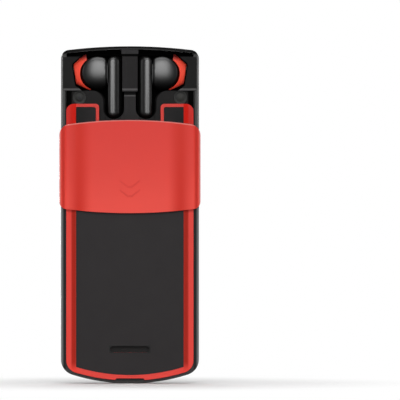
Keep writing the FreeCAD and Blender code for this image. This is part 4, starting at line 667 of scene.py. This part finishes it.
TIP_X, TIP_Z, TIP_LEAN, TIP_FLATNESS, TIP_BORE = 22.05, 123.65, 7.7, 0.48, 6.62
TIP_DOME = [(7.0, -5.6), (7.2, -5.4), (7.15, -5.0), (6.6, -4.0), (6.0, -3.0), (5.35, -2.0), (4.75, -1.1)]
TIP_NOSE = [(4.3, -0.45), (4.0, -0.12), (3.6, 0), (2.6, 0), (2.3, -0.25), (2.2, -0.8), (2.2, -2.0)]
for bud in ("earbud_left", "earbud_right"):
    low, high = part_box(f"{bud}_ear_tip")
    side = 1 if low.x + high.x > 0 else -1
    lean = Matrix.Rotation(side * math.radians(90 + TIP_LEAN), 4, "Y")
    flattened = Matrix.Diagonal((1, TIP_FLATNESS, 1, 1))
    placed = at(side * TIP_X, BUD_MIDDLE, TIP_Z) @ flattened @ lean
    tip = turned([(0, -5.6)] + TIP_DOME + TIP_NOSE + [(0, -2.0)], 72, placed)
    tip = bored(tip, bud, at(side * BULB_X, BUD_MIDDLE, BULB_Z), TIP_BORE * MM)
    finished_piece(f"{bud}_silicone_tip", tip, tip_finish, bud, [f"{bud}_ear_tip"], sharp=40)
    sieve = turned([(0, -1.55), (1.4, -1.6), (2.1, -1.75), (2.1, -1.95), (0, -1.95)], 40, placed)
    finished_piece(f"{bud}_nozzle_mesh", sieve, mesh_finish, bud)


# Charging contacts: discs on the back of each stem and sprung pins below them in the bay. They are
# turned from brass, plated with gold and pressed into their plastic.

def metal(name, colour, roughness, scratch=900.0):
    """Plated or rolled metal with fine scratches along the phone."""
    finish, start = new_finish(name)
    place = start.node("TexCoord", out="Object")
    stretched = start.node("VectorMath", {"operation": "MULTIPLY"}, {0: place, 1: (1.0, 1.0, 0.08)})
    scratches = start.node("TexNoise", {}, {"Vector": stretched, "Scale": scratch * 4, "Detail": 4.0})
    stains = start.node("TexNoise", {}, {"Vector": place, "Scale": 240.0, "Detail": 4.0})
    close_finish(start, {
        "Base Color": stains.blend(tinted(colour, 0.85), tinted(colour, 1.08)),
        "Metallic": 1.0,
        "Roughness": roughness + (scratches - 0.5) * 0.25,
        "Normal": start.node("Bump", {}, {"Strength": 0.1, "Distance": 0.01 * MM, "Height": scratches}),
    })
    return finish


gold_finish = metal("gold_plate", (0.83, 0.58, 0.23, 1), 0.28)
steel_finish = metal("steel", (0.52, 0.52, 0.53, 1), 0.34)


def give(finish, *nodes):
    """Gives a finish to CAD pieces that keep their own mesh."""
    for node in nodes:
        mesh = frame["nodes"][node].data
        mesh.materials.clear()
        mesh.materials.append(finish)


give(gold_finish, "earbud_left_contacts", "earbud_right_contacts", "charging_pins")


# The front is a sheet of strengthened glass, printed black on its back round a clear window for the
# display, with a slot for the earpiece. It is glued into its recess in the front housing, and carries
# a painted grey reflection, strongest half way up its left edge, and the faint marks of fingers.

SCREEN_X, SCREEN_Z, SCREEN_HALF_X = 0.1, 85.0, 18.3
glass_finish, start = new_finish("front_glass")
place, x, y, z = place_in(start)
fingers = start.node("TexNoise", {}, {"Vector": place, "Scale": 90.0, "Detail": 5.0})


def on_screen(x, z, half_z):
    """1 on the lit part of the front."""
    across = x.within(SCREEN_X * MM, SCREEN_HALF_X * MM, 0.02 * MM)
    return across * z.within(SCREEN_Z * MM, half_z * MM, 0.02 * MM)


def painted_reflection_in(x, z):
    """A painted grey reflection on the glass: strongest half way up its left edge, and gone at the right."""
    leftness = ((15 * MM - x) / (35 * MM)).larger(0) ** 2.5
    return leftness * z.within(91 * MM, 24 * MM, 24 * MM)


# Painted reflection, with faint finger marks added.
reflection_and_smears = painted_reflection_in(x, z) + fingers * 0.002
close_finish(start, {
    "Base Color": reflection_and_smears.blend((0.001, 0.001, 0.001, 1), (0.085, 0.085, 0.085, 1)),
    "Roughness": 0.06 + fingers * 0.08,
    "Specular IOR Level": 0.05,
    "Alpha": 1 - on_screen(x, z, 24.25),
})
dress("display_glass", glass_finish, edge=0.06)


# The display is a flat module of glass and film, glued behind the front glass. It is lit, and shows a
# plain pattern of fine upright red lines with a clock, the date and small icons.

screen_finish, start = new_finish("lit_screen")
place, x, y, z = place_in(start)
front = 1 - y.rise(-6.69 * MM, -6.66 * MM)
border = 1 - x.within(SCREEN_X * MM, 18.0 * MM, 0.1 * MM)
stripes = x / (0.85 * MM)
column = stripes.through("FLOOR")
inside = abs(stripes.through("FRACT") - 0.5)
chance = start.node("TexWhiteNoise", {"noise_dimensions": "1D"}, {"W": column}, out=0)
top = (82.0 + chance * 14.0) * MM
upper_fade = 1 - (z - top).rise(-7.0 * MM, 2.0 * MM)
line = (1 - inside.rise(0.12, 0.24)) * upper_fade * z.rise(68.0 * MM, 78.0 * MM)
haze = z.within(84.0 * MM, 9.0 * MM, 9.0 * MM)
red_part = line * (0.30 + chance * 0.55) + haze * 0.09
glow = red_part.blend((0.006, 0.005, 0.005, 1), (0.40, 0.014, 0.026, 1))
# The glass's painted reflection is added to the screen's light as well; the thin border glows faint grey.
glow = (painted_reflection_in(x, z) * 0.75 + border * 0.14).blend(glow, (0.12, 0.12, 0.12, 1))
close_finish(start, {
    "Base Color": (0.002, 0.002, 0.002, 1),
    "Roughness": 0.4,
    "Specular IOR Level": 0.0,
    "Emission Color": (front * on_screen(x, z, 24.2)).blend((0, 0, 0, 1), glow),
    "Emission Strength": 1.0,
})
give(screen_finish, "display_module")

light_finish, start = new_finish("screen_white")
sparkle = start.node("TexNoise", {}, {"Scale": 900.0})
close_finish(start, {
    "Base Color": (0.02, 0.02, 0.02, 1),
    "Roughness": 0.5,
    "Emission Color": sparkle.blend((0.80, 0.80, 0.80, 1), (0.86, 0.86, 0.86, 1)),
    "Emission Strength": 1.0,
})


DIGIT_HEIGHT, PRINT_THICK = 0.69, 0.024


def put_text(work, text, height, x, z, front, spacing=1.0):
    """Adds characters to a mesh of print, and gives the left end of the first one. Height is that of a
    digit in mm, and x and z are the middle of the whole."""
    curve = bpy.data.curves.new("text", "FONT")
    curve.body = text
    curve.space_character = spacing
    curve.offset = -0.010 if height > 1 else -0.003
    curve.resolution_u = 4
    curve.extrude = 0.02
    source = bpy.data.objects.new("text", curve)
    bpy.context.scene.collection.objects.link(source)
    bpy.context.view_layer.update()
    mesh = bpy.data.meshes.new_from_object(source.evaluated_get(bpy.context.evaluated_depsgraph_get()))
    bpy.data.objects.remove(source)
    bpy.data.curves.remove(curve)
    xs = [vert.co.x for vert in mesh.vertices]
    scale = height * MM / DIGIT_HEIGHT
    centred = Matrix.Translation((-(max(xs) + min(xs)) / 2, -DIGIT_HEIGHT / 2, 0))
    sized = Matrix.Diagonal((scale, scale, 0.6 * MM, 1))
    upright = at(x, front, z) @ Matrix.Rotation(math.radians(90), 4, "X")
    mesh.transform(upright @ sized @ centred)
    work.from_mesh(mesh)
    bpy.data.meshes.remove(mesh)
    return x - (max(xs) - min(xs)) / 2 * height / DIGIT_HEIGHT


def put_bar(work, low_x, low_z, high_x, high_z, front, turn=0):
    """Adds a thin printed bar with softened corners, turned about its middle by some degrees."""
    fresh = bmesh.new()
    sized = Matrix.Diagonal(((high_x - low_x) * MM, PRINT_THICK * MM, (high_z - low_z) * MM, 1))
    put = at((low_x + high_x) / 2, front, (low_z + high_z) / 2) @ Matrix.Rotation(math.radians(-turn), 4, "Y")
    bmesh.ops.create_cube(fresh, size=1.0, matrix=put @ sized)
    upright = [edge for edge in fresh.edges if abs(edge.verts[0].co.y - edge.verts[1].co.y) > 1e-6]
    soft = min(0.3 * (high_x - low_x), 0.3 * (high_z - low_z), 0.2)
    round_off(fresh, upright, soft, 2)
    add_shape(work, fresh)


def put_arc(work, x, z, radius, width, first, sweep, front, steps=20):
    """Adds a thin printed arc: a short upright line swept round a middle, and then made thick."""
    fresh = bmesh.new()
    out_x, out_z = math.cos(math.radians(first)), math.sin(math.radians(first))
    ends = [
        fresh.verts.new(((x + reach * out_x) * MM, (front - PRINT_THICK / 2) * MM, (z + reach * out_z) * MM))
        for reach in (radius - width / 2, radius + width / 2)
    ]
    line = fresh.edges.new(ends)
    bmesh.ops.spin(
        fresh,
        geom=ends + [line],
        cent=(x * MM, front * MM, z * MM),
        axis=(0, -1, 0),
        angle=math.radians(sweep),
        steps=steps,
        use_merge=sweep == 360,
    )
    bmesh.ops.recalc_face_normals(fresh, faces=fresh.faces)
    bmesh.ops.solidify(fresh, geom=fresh.faces[:], thickness=PRINT_THICK * MM)
    add_shape(work, fresh)


def put_flag(work, left, top, height, front):
    """Adds the slanted stroke of a 1, which the font leaves out."""
    half_long, half_thick = 0.15 * height, 0.055 * height
    x = left - 0.02 * height
    z = top - 0.13 * height
    put_bar(work, x - half_long, z - half_thick, x + half_long, z + half_thick, front, turn=38)


LIT_Y = -6.727
clock = bmesh.new()
clock_left = put_text(clock, "12:00", 5.4, -0.8, 99.9, LIT_Y, spacing=1.12)
put_flag(clock, clock_left, 102.6, 5.4, LIT_Y)
put_text(clock, "01.01.2000", 1.7, -0.9, 93.5, LIT_Y, spacing=1.3)
finished_piece("screen_clock", clock, light_finish, "phone")

status = bmesh.new()
for step in range(4):
    put_bar(status, 9.5 + step * 0.75, 106.8, 10.0 + step * 0.75, 107.4 + step * 0.34, LIT_Y)
put_bar(status, 12.9, 106.8, 15.9, 108.4, LIT_Y)
put_bar(status, 15.9, 107.3, 16.2, 107.9, LIT_Y)
put_bar(status, -17.0, 88.1, -15.6, 90.0, LIT_Y)
for step in range(4):
    put_bar(status, -13.8 + step * 2.2, 88.7, -12.4 + step * 2.2, 89.1, LIT_Y)
finished_piece("screen_status", status, light_finish, "phone")

icons = bmesh.new()
put_arc(icons, -15.8, 63.5, 1.35, 1.0, 0, 360, LIT_Y, steps=36)
put_bar(icons, -16.1, 63.3, -15.5, 65.0, LIT_Y)
put_bar(icons, -1.5, 61.9, 1.3, 63.8, LIT_Y)
put_arc(icons, -0.1, 63.9, 0.85, 0.35, 0, 180, LIT_Y)
put_bar(icons, 13.3, 61.7, 17.2, 64.2, LIT_Y)
put_bar(icons, 13.3, 64.5, 17.2, 65.2, LIT_Y)
finished_piece("screen_icons", icons, light_finish, "phone")


# Keys: eighteen caps of dark polycarbonate on one silicone mat, each with its sign printed in pale ink.
# The direction ring is plated and brushed, and frames the centre key.

key_finish = plastic("key_black", (0.021, 0.0195, 0.021, 1), 0.44, 0.14, grain=0.25)
for key_node in ("call_key", "end_key", "soft_key_left", "soft_key_right"):
    dress(key_node, key_finish, edge=0.10)

number_finish, start = new_finish("number_key_black")
place, x, y, z = place_in(start)
number_sockets = plastic_sockets(start, place, (0.025, 0.0235, 0.025, 1), 0.44, 0.14, grain=0.25)
row_low, row_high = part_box("key_1")
row_pitch = row_high.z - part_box("key_4")[1].z
last_row_foot = row_low.z - 3 * row_pitch
on_rows = z.rise(last_row_foot - 0.1 * MM, last_row_foot + 0.1 * MM)
# Painted light: each number key is painted darker toward its foot and lighter toward its top, with a painted
# highlight along its top edge.
up_key = ((z - row_low.z) / row_pitch + 8).through("FRACT") * on_rows
shaded = up_key.rise(-0.1, 0.85).blend((0.0045, 0.0040, 0.0042, 1), number_sockets["Base Color"])
number_sockets["Base Color"] = up_key.rise(0.80, 0.86).blend(shaded, (0.040, 0.038, 0.039, 1))
close_finish(start, number_sockets)
for key_node in [f"key_{digit}" for digit in range(10)] + ["key_star", "key_hash"]:
    dress(key_node, number_finish, edge=0.10)
dress("centre_key", plastic("centre_key_black", (0.019, 0.018, 0.019, 1), 0.34, 0.16), edge=0.10)

ring_low, ring_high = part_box("dpad_ring")
ring_finish, start = new_finish("brushed_ring")
place, x, y, z = place_in(start)
ring_x = x - (ring_low.x + ring_high.x) / 2
ring_z = z - (ring_low.z + ring_high.z) / 2
turn = ring_x.math("ARCTAN2", ring_z, ring_x)
outward = (abs(ring_x / MM) ** 5 + abs(ring_z / MM) ** 5) ** 0.2
swirl = start.node("CombineXYZ", {}, {0: outward * 16, 1: turn * 2.0, 2: 0.0})
brushed = start.node("TexNoise", {}, {"Vector": swirl, "Scale": 1.0, "Detail": 3.0})
ring_reach = (ring_high.x - ring_low.x) / 2 / MM
# Painted reflections: the brushed ring is painted brighter on its outer and inner crests and at its left and
# right.
outer_crest = outward.rise(ring_reach - 0.7, ring_reach - 0.3)
crest = outer_crest.larger(1 - outward.rise(ring_reach - 1.9, ring_reach - 1.5))
brushed_colour = brushed.blend((0.05, 0.05, 0.05, 1), (0.24, 0.24, 0.24, 1))
painted_side_glint = abs(turn.through("COSINE")).rise(0.2, 1.0)
bright = painted_side_glint.blend((0.24, 0.24, 0.24, 1), (0.50, 0.50, 0.50, 1))
close_finish(start, {
    "Base Color": (crest * 0.8 + painted_side_glint * 0.15).blend(brushed_colour, bright),
    "Metallic": 1.0,
    "Roughness": 0.24 + brushed * 0.2,
    "Normal": start.node("Bump", {}, {"Strength": 0.15, "Distance": 0.02 * MM, "Height": brushed}),
})
dress("dpad_ring", ring_finish, edge=0.12)

ink_finish, start = new_finish("pale_ink")
place = start.node("TexCoord", out="Object")
worn = start.node("TexNoise", {}, {"Vector": place, "Scale": 1500.0, "Detail": 3.0})
close_finish(start, {
    "Base Color": worn.blend((0.44, 0.44, 0.44, 1), (0.58, 0.58, 0.58, 1)),
    "Roughness": 0.5 + worn * 0.15,
})

INK_Y = -7.81
LETTERS = {
    "2": ("abc", "абвг"), "3": ("def", "дежз"), "4": ("ghi", "ийкл"), "5": ("jkl", "мноп"),
    "6": ("mno", "рсту"), "7": ("pqrs", "фхцч"), "8": ("tuv", "шщъы"), "9": ("wxyz", "ьэюя"),
}
LEFT_COLUMN, MIDDLE_COLUMN, RIGHT_COLUMN = -17.2, -2.3, 16.8
COLUMN_X = {"147": LEFT_COLUMN, "2580": MIDDLE_COLUMN, "369": RIGHT_COLUMN}
ROW_Z = {"123": 30.15, "456": 23.75, "789": 17.4, "0": 10.9}
for digit in "1234567890":
    digit_x = next(x for digits, x in COLUMN_X.items() if digit in digits)
    digit_z = next(z for digits, z in ROW_Z.items() if digit in digits)
    legend = bmesh.new()
    digit_left = put_text(legend, digit, 3.2, digit_x, digit_z, INK_Y)
    beside = digit_x + (-4.1 if digit_x > 10 else 3.9)
    if digit in LETTERS:
        latin, second = LETTERS[digit]
        put_text(legend, latin, 1.65, beside, digit_z - 0.6, INK_Y)
        put_text(legend, second, 0.95, beside, digit_z + 1.75, INK_Y)
    if digit == "0":
        put_bar(legend, beside - 1.4, digit_z - 1.3, beside + 1.4, digit_z - 0.95, INK_Y)
        put_bar(legend, beside - 1.4, digit_z - 1.0, beside - 1.1, digit_z - 0.4, INK_Y)
        put_bar(legend, beside + 1.1, digit_z - 1.0, beside + 1.4, digit_z - 0.4, INK_Y)
        put_arc(legend, beside, digit_z + 0.6, 0.75, 0.28, 0, 360, INK_Y, steps=24)
    if digit == "1":
        put_flag(legend, digit_left, digit_z + 1.6, 3.2, INK_Y)
        put_arc(legend, beside - 0.65, digit_z - 0.5, 0.5, 0.24, 0, 360, INK_Y, steps=20)
        put_arc(legend, beside + 0.65, digit_z - 0.5, 0.5, 0.24, 0, 360, INK_Y, steps=20)
    finished_piece(f"key_{digit}_print", legend, ink_finish, f"key_{digit}_body")

star = bmesh.new()
for arm_turn in (18, 90, 162, 234, 306):
    arm_x = LEFT_COLUMN + 0.65 * math.cos(math.radians(arm_turn))
    arm_z = 11.2 + 0.65 * math.sin(math.radians(arm_turn))
    put_bar(star, arm_x - 0.72, arm_z - 0.14, arm_x + 0.72, arm_z + 0.14, INK_Y, turn=arm_turn)
put_bar(star, -13.4, 10.5, -12.8, 11.1, INK_Y)
finished_piece("key_star_print", star, ink_finish, "key_star_body")
hash_sign = bmesh.new()
put_text(hash_sign, "#", 2.5, RIGHT_COLUMN, 11.4, INK_Y)
put_arc(hash_sign, 11.8, 10.9, 0.5, 0.24, 0, 360, INK_Y, steps=20)
put_bar(hash_sign, 14.0, 10.3, 14.35, 11.4, INK_Y)
finished_piece("key_hash_print", hash_sign, ink_finish, "key_hash_body")

for soft_node, soft_side in (("soft_key_left", -1), ("soft_key_right", 1)):
    dash = bmesh.new()
    put_bar(dash, soft_side * 14.75 - 2.4, 45.7, soft_side * 14.75 + 2.4, 46.2, INK_Y)
    finished_piece(soft_node + "_print", dash, ink_finish, soft_node + "_body")

for call_node, call_x in (("call_key", -14.8), ("end_key", 14.7)):
    handset = bmesh.new()
    put_bar(handset, call_x - 1.4, 38.15, call_x + 1.4, 38.45, INK_Y)
    put_arc(handset, call_x - 1.4, 37.25, 1.05, 0.30, 90, 70, INK_Y)
    put_arc(handset, call_x + 1.4, 37.25, 1.05, 0.30, 20, 70, INK_Y)
    for end in (-1, 1):
        put_bar(handset, call_x + end * 2.42 - 0.16, 36.6, call_x + end * 2.42 + 0.16, 37.5, INK_Y)
    if call_node == "end_key":
        put_arc(handset, call_x, 36.95, 0.65, 0.20, 120, 300, INK_Y)
        put_bar(handset, call_x - 0.10, 36.9, call_x + 0.10, 37.7, INK_Y)
    finished_piece(call_node + "_print", handset, ink_finish, call_node + "_body")


# Side keys: red strips of the same plastic as the cover, let into the long front edges. Their signs
# are engraved a hair deep and show as a darker red.

SIGNS = {
    # bars of each sign as (x, z, half width, half height), from the middle of the key
    "volume_down_key": [(0, 0, 0.9, 0.16)],
    "volume_up_key": [(0, 0, 0.9, 0.16), (0, 0, 0.16, 0.9)],
    "music_back_key": [(-0.7, 0, 0.14, 0.8), (0.1, 0, 0.30, 0.55), (0.7, 0, 0.30, 0.8)],
    "music_play_key": [(-0.5, 0, 0.30, 0.8), (0.2, 0, 0.14, 0.8), (0.7, 0, 0.14, 0.8)],
    "music_next_key": [(0.7, 0, 0.14, 0.8), (-0.1, 0, 0.30, 0.55), (-0.7, 0, 0.30, 0.8)],
}
KEY_RED = (0.70, 0.036, 0.026, 1)
for side_node, bars in SIGNS.items():
    low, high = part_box(side_node)
    sign_x = (low.x + high.x) / 2
    sign_z = (low.z + high.z) / 2
    finish, start = new_finish(side_node + "_red")
    place, x, y, z = place_in(start)
    sockets = plastic_sockets(start, place, KEY_RED, 0.40, 0.20)
    # Painted highlight along the rounded outer edge of each side key.
    painted_edge_highlight = abs(x).within(26.2 * MM, 0.7 * MM, 0.5 * MM)
    colour = painted_edge_highlight.blend(sockets["Base Color"], (0.80, 0.130, 0.110, 1))
    for bar_x, bar_z, half_x, half_z in bars:
        across = x.within(sign_x + bar_x * MM, half_x * MM, 0.05 * MM)
        engraved = across * z.within(sign_z + bar_z * MM, half_z * MM, 0.05 * MM)
        colour = engraved.blend(colour, tinted(KEY_RED, 0.5))
    sockets["Base Color"] = colour
    close_finish(start, sockets)
    dress(side_node, finish, edge=0.10)


# Meshes of woven steel wire, blackened and glued in behind their slots, keep dust out of the earpiece
# and the loudspeaker.

weave_finish, start = new_finish("woven_mesh")
place, x, y, z = place_in(start)
weft = abs((x / (0.30 * MM)).through("FRACT") - 0.5)
warp = abs((z / (0.30 * MM)).through("FRACT") - 0.5)
thread = weft.rise(0.20, 0.32).larger(warp.rise(0.20, 0.32))
behind = y.rise(0, 1 * MM)
lit_thread = thread * (0.35 + behind * 0.65)
close_finish(start, {
    "Base Color": lit_thread.blend((0.0005, 0.0005, 0.0005, 1), (0.022, 0.022, 0.022, 1)),
    "Specular IOR Level": 0.02,
    "Roughness": 0.6 - thread * 0.15,
    "Normal": start.node("Bump", {}, {"Strength": 0.5, "Distance": 0.04 * MM, "Height": thread}),
})
give(weave_finish, "speaker_meshes")


# The main board is glass fibre with green lacquer, gold pads and fine tracks. Tinned cans soldered
# over its chips keep radio noise in, and small tinned switches sit at its edges for the side keys.

board_finish, start = new_finish("board_green")
place, x, y, z = place_in(start)
cells = start.node("TexVoronoi", {"feature": "DISTANCE_TO_EDGE"}, {"Vector": place, "Scale": 420.0})
tracks = 1 - cells.rise(0.02, 0.05)
pads = start.node("TexVoronoi", {}, {"Vector": place, "Scale": 260.0}).rise(0.12, 0.16)
lacquer = tracks.blend((0.012, 0.075, 0.030, 1), (0.030, 0.150, 0.060, 1))
close_finish(start, {
    "Base Color": pads.blend((0.60, 0.42, 0.15, 1), lacquer),
    "Metallic": (1 - pads) * 0.9,
    "Roughness": 0.35 + tracks * 0.1,
    "Normal": start.node("Bump", {}, {"Strength": 0.3, "Distance": 0.03 * MM, "Height": tracks}),
})
give(board_finish, "main_board")
tin_finish = metal("tinned_can", (0.62, 0.62, 0.61, 1), 0.38, scratch=300.0)
give(tin_finish, "shield_cans", "side_key_switches", "card_holder")


# The keypad mat is one sheet of black silicone with a pad under every cap. Below it a film
# holds steel domes that click and close the contacts on the board.

mat_finish, start = new_finish("silicone_mat")
place, x, y, z = place_in(start)
dust = start.node("TexNoise", {}, {"Vector": place, "Scale": 500.0, "Detail": 5.0})
close_finish(start, {
    "Base Color": dust.blend((0.008, 0.008, 0.008, 1), (0.016, 0.016, 0.016, 1)),
    "Roughness": 0.55 + dust * 0.2,
    "Specular IOR Level": 0.2,
    "Normal": start.node("Bump", {}, {"Strength": 0.15, "Distance": 0.02 * MM, "Height": dust}),
})
give(mat_finish, "keypad_mat")
give(metal("dome_foil", (0.66, 0.65, 0.62, 1), 0.30), "dome_sheet")


# The battery is a soft lithium cell in a pale wrap with a dark end, and rests against sprung contacts
# of gold-plated bronze. Its wrap is plain.

battery_low, battery_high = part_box("battery")
wrap_finish, start = new_finish("battery_wrap")
place, x, y, z = place_in(start)
crinkle = start.node("TexNoise", {}, {"Vector": place, "Scale": 140.0, "Detail": 4.0})
end_band = z.rise(battery_high.z - 5.0 * MM, battery_high.z - 4.9 * MM)
stripe = z.within((battery_low.z + battery_high.z) / 2, 0.8 * MM, 0.05 * MM)
wrap = crinkle.blend((0.26, 0.26, 0.27, 1), (0.32, 0.32, 0.33, 1))
wrap = end_band.larger(stripe * 0.6).blend(wrap, (0.02, 0.02, 0.022, 1))
close_finish(start, {
    "Base Color": wrap,
    "Roughness": 0.35 + crinkle * 0.1,
    "Normal": start.node("Bump", {}, {"Strength": 0.25, "Distance": 0.05 * MM, "Height": crinkle}),
})
give(wrap_finish, "battery")
give(gold_finish, "battery_contacts")


# Sound parts: the earpiece and the loudspeaker are black cups with a plastic film and a bright rim,
# the microphone is a small can, and the vibration motor a turned weight on a shaft.

cup_finish, start = new_finish("speaker_cup")
place, x, y, z = place_in(start)
ripples = (z / (0.35 * MM)).through("SINE")
film = start.node("TexNoise", {}, {"Vector": place, "Scale": 300.0, "Detail": 4.0})
close_finish(start, {
    "Base Color": film.blend((0.010, 0.010, 0.011, 1), (0.030, 0.030, 0.032, 1)),
    "Roughness": 0.3 + film * 0.2,
    "Specular IOR Level": 0.4,
    "Normal": start.node("Bump", {}, {"Strength": 0.3, "Distance": 0.05 * MM, "Height": ripples}),
})
give(cup_finish, "earpiece_speaker", "loudspeaker", "camera_module", "microphone")
give(steel_finish, "vibration_motor", "detent_springs", "housing_screws", "usb_port", "earbud_magnets")


# The headphone jack is a black moulded body round a plated barrel, soldered to the board. The antenna
# is a strip of copper foil on a carrier, along the foot of the phone.

jack_finish, start = new_finish("jack_black")
place, x, y, z = place_in(start)
off_x = x - 13.0 * MM
off_y = y + 2.4 * MM
radius = (off_x * off_x + off_y * off_y).through("SQRT")
barrel = 1 - radius.rise(1.86 * MM, 1.92 * MM)
grit = start.node("TexNoise", {}, {"Vector": place, "Scale": 800.0, "Detail": 4.0})
close_finish(start, {
    "Base Color": barrel.blend((0.012, 0.012, 0.013, 1), (0.70, 0.52, 0.24, 1)),
    "Metallic": barrel,
    "Roughness": 0.32 + grit * 0.15,
    "Normal": start.node("Bump", {}, {"Strength": 0.1, "Distance": 0.02 * MM, "Height": grit}),
})
give(jack_finish, "headphone_jack")
give(metal("copper_foil", (0.72, 0.34, 0.18, 1), 0.36), "antenna")
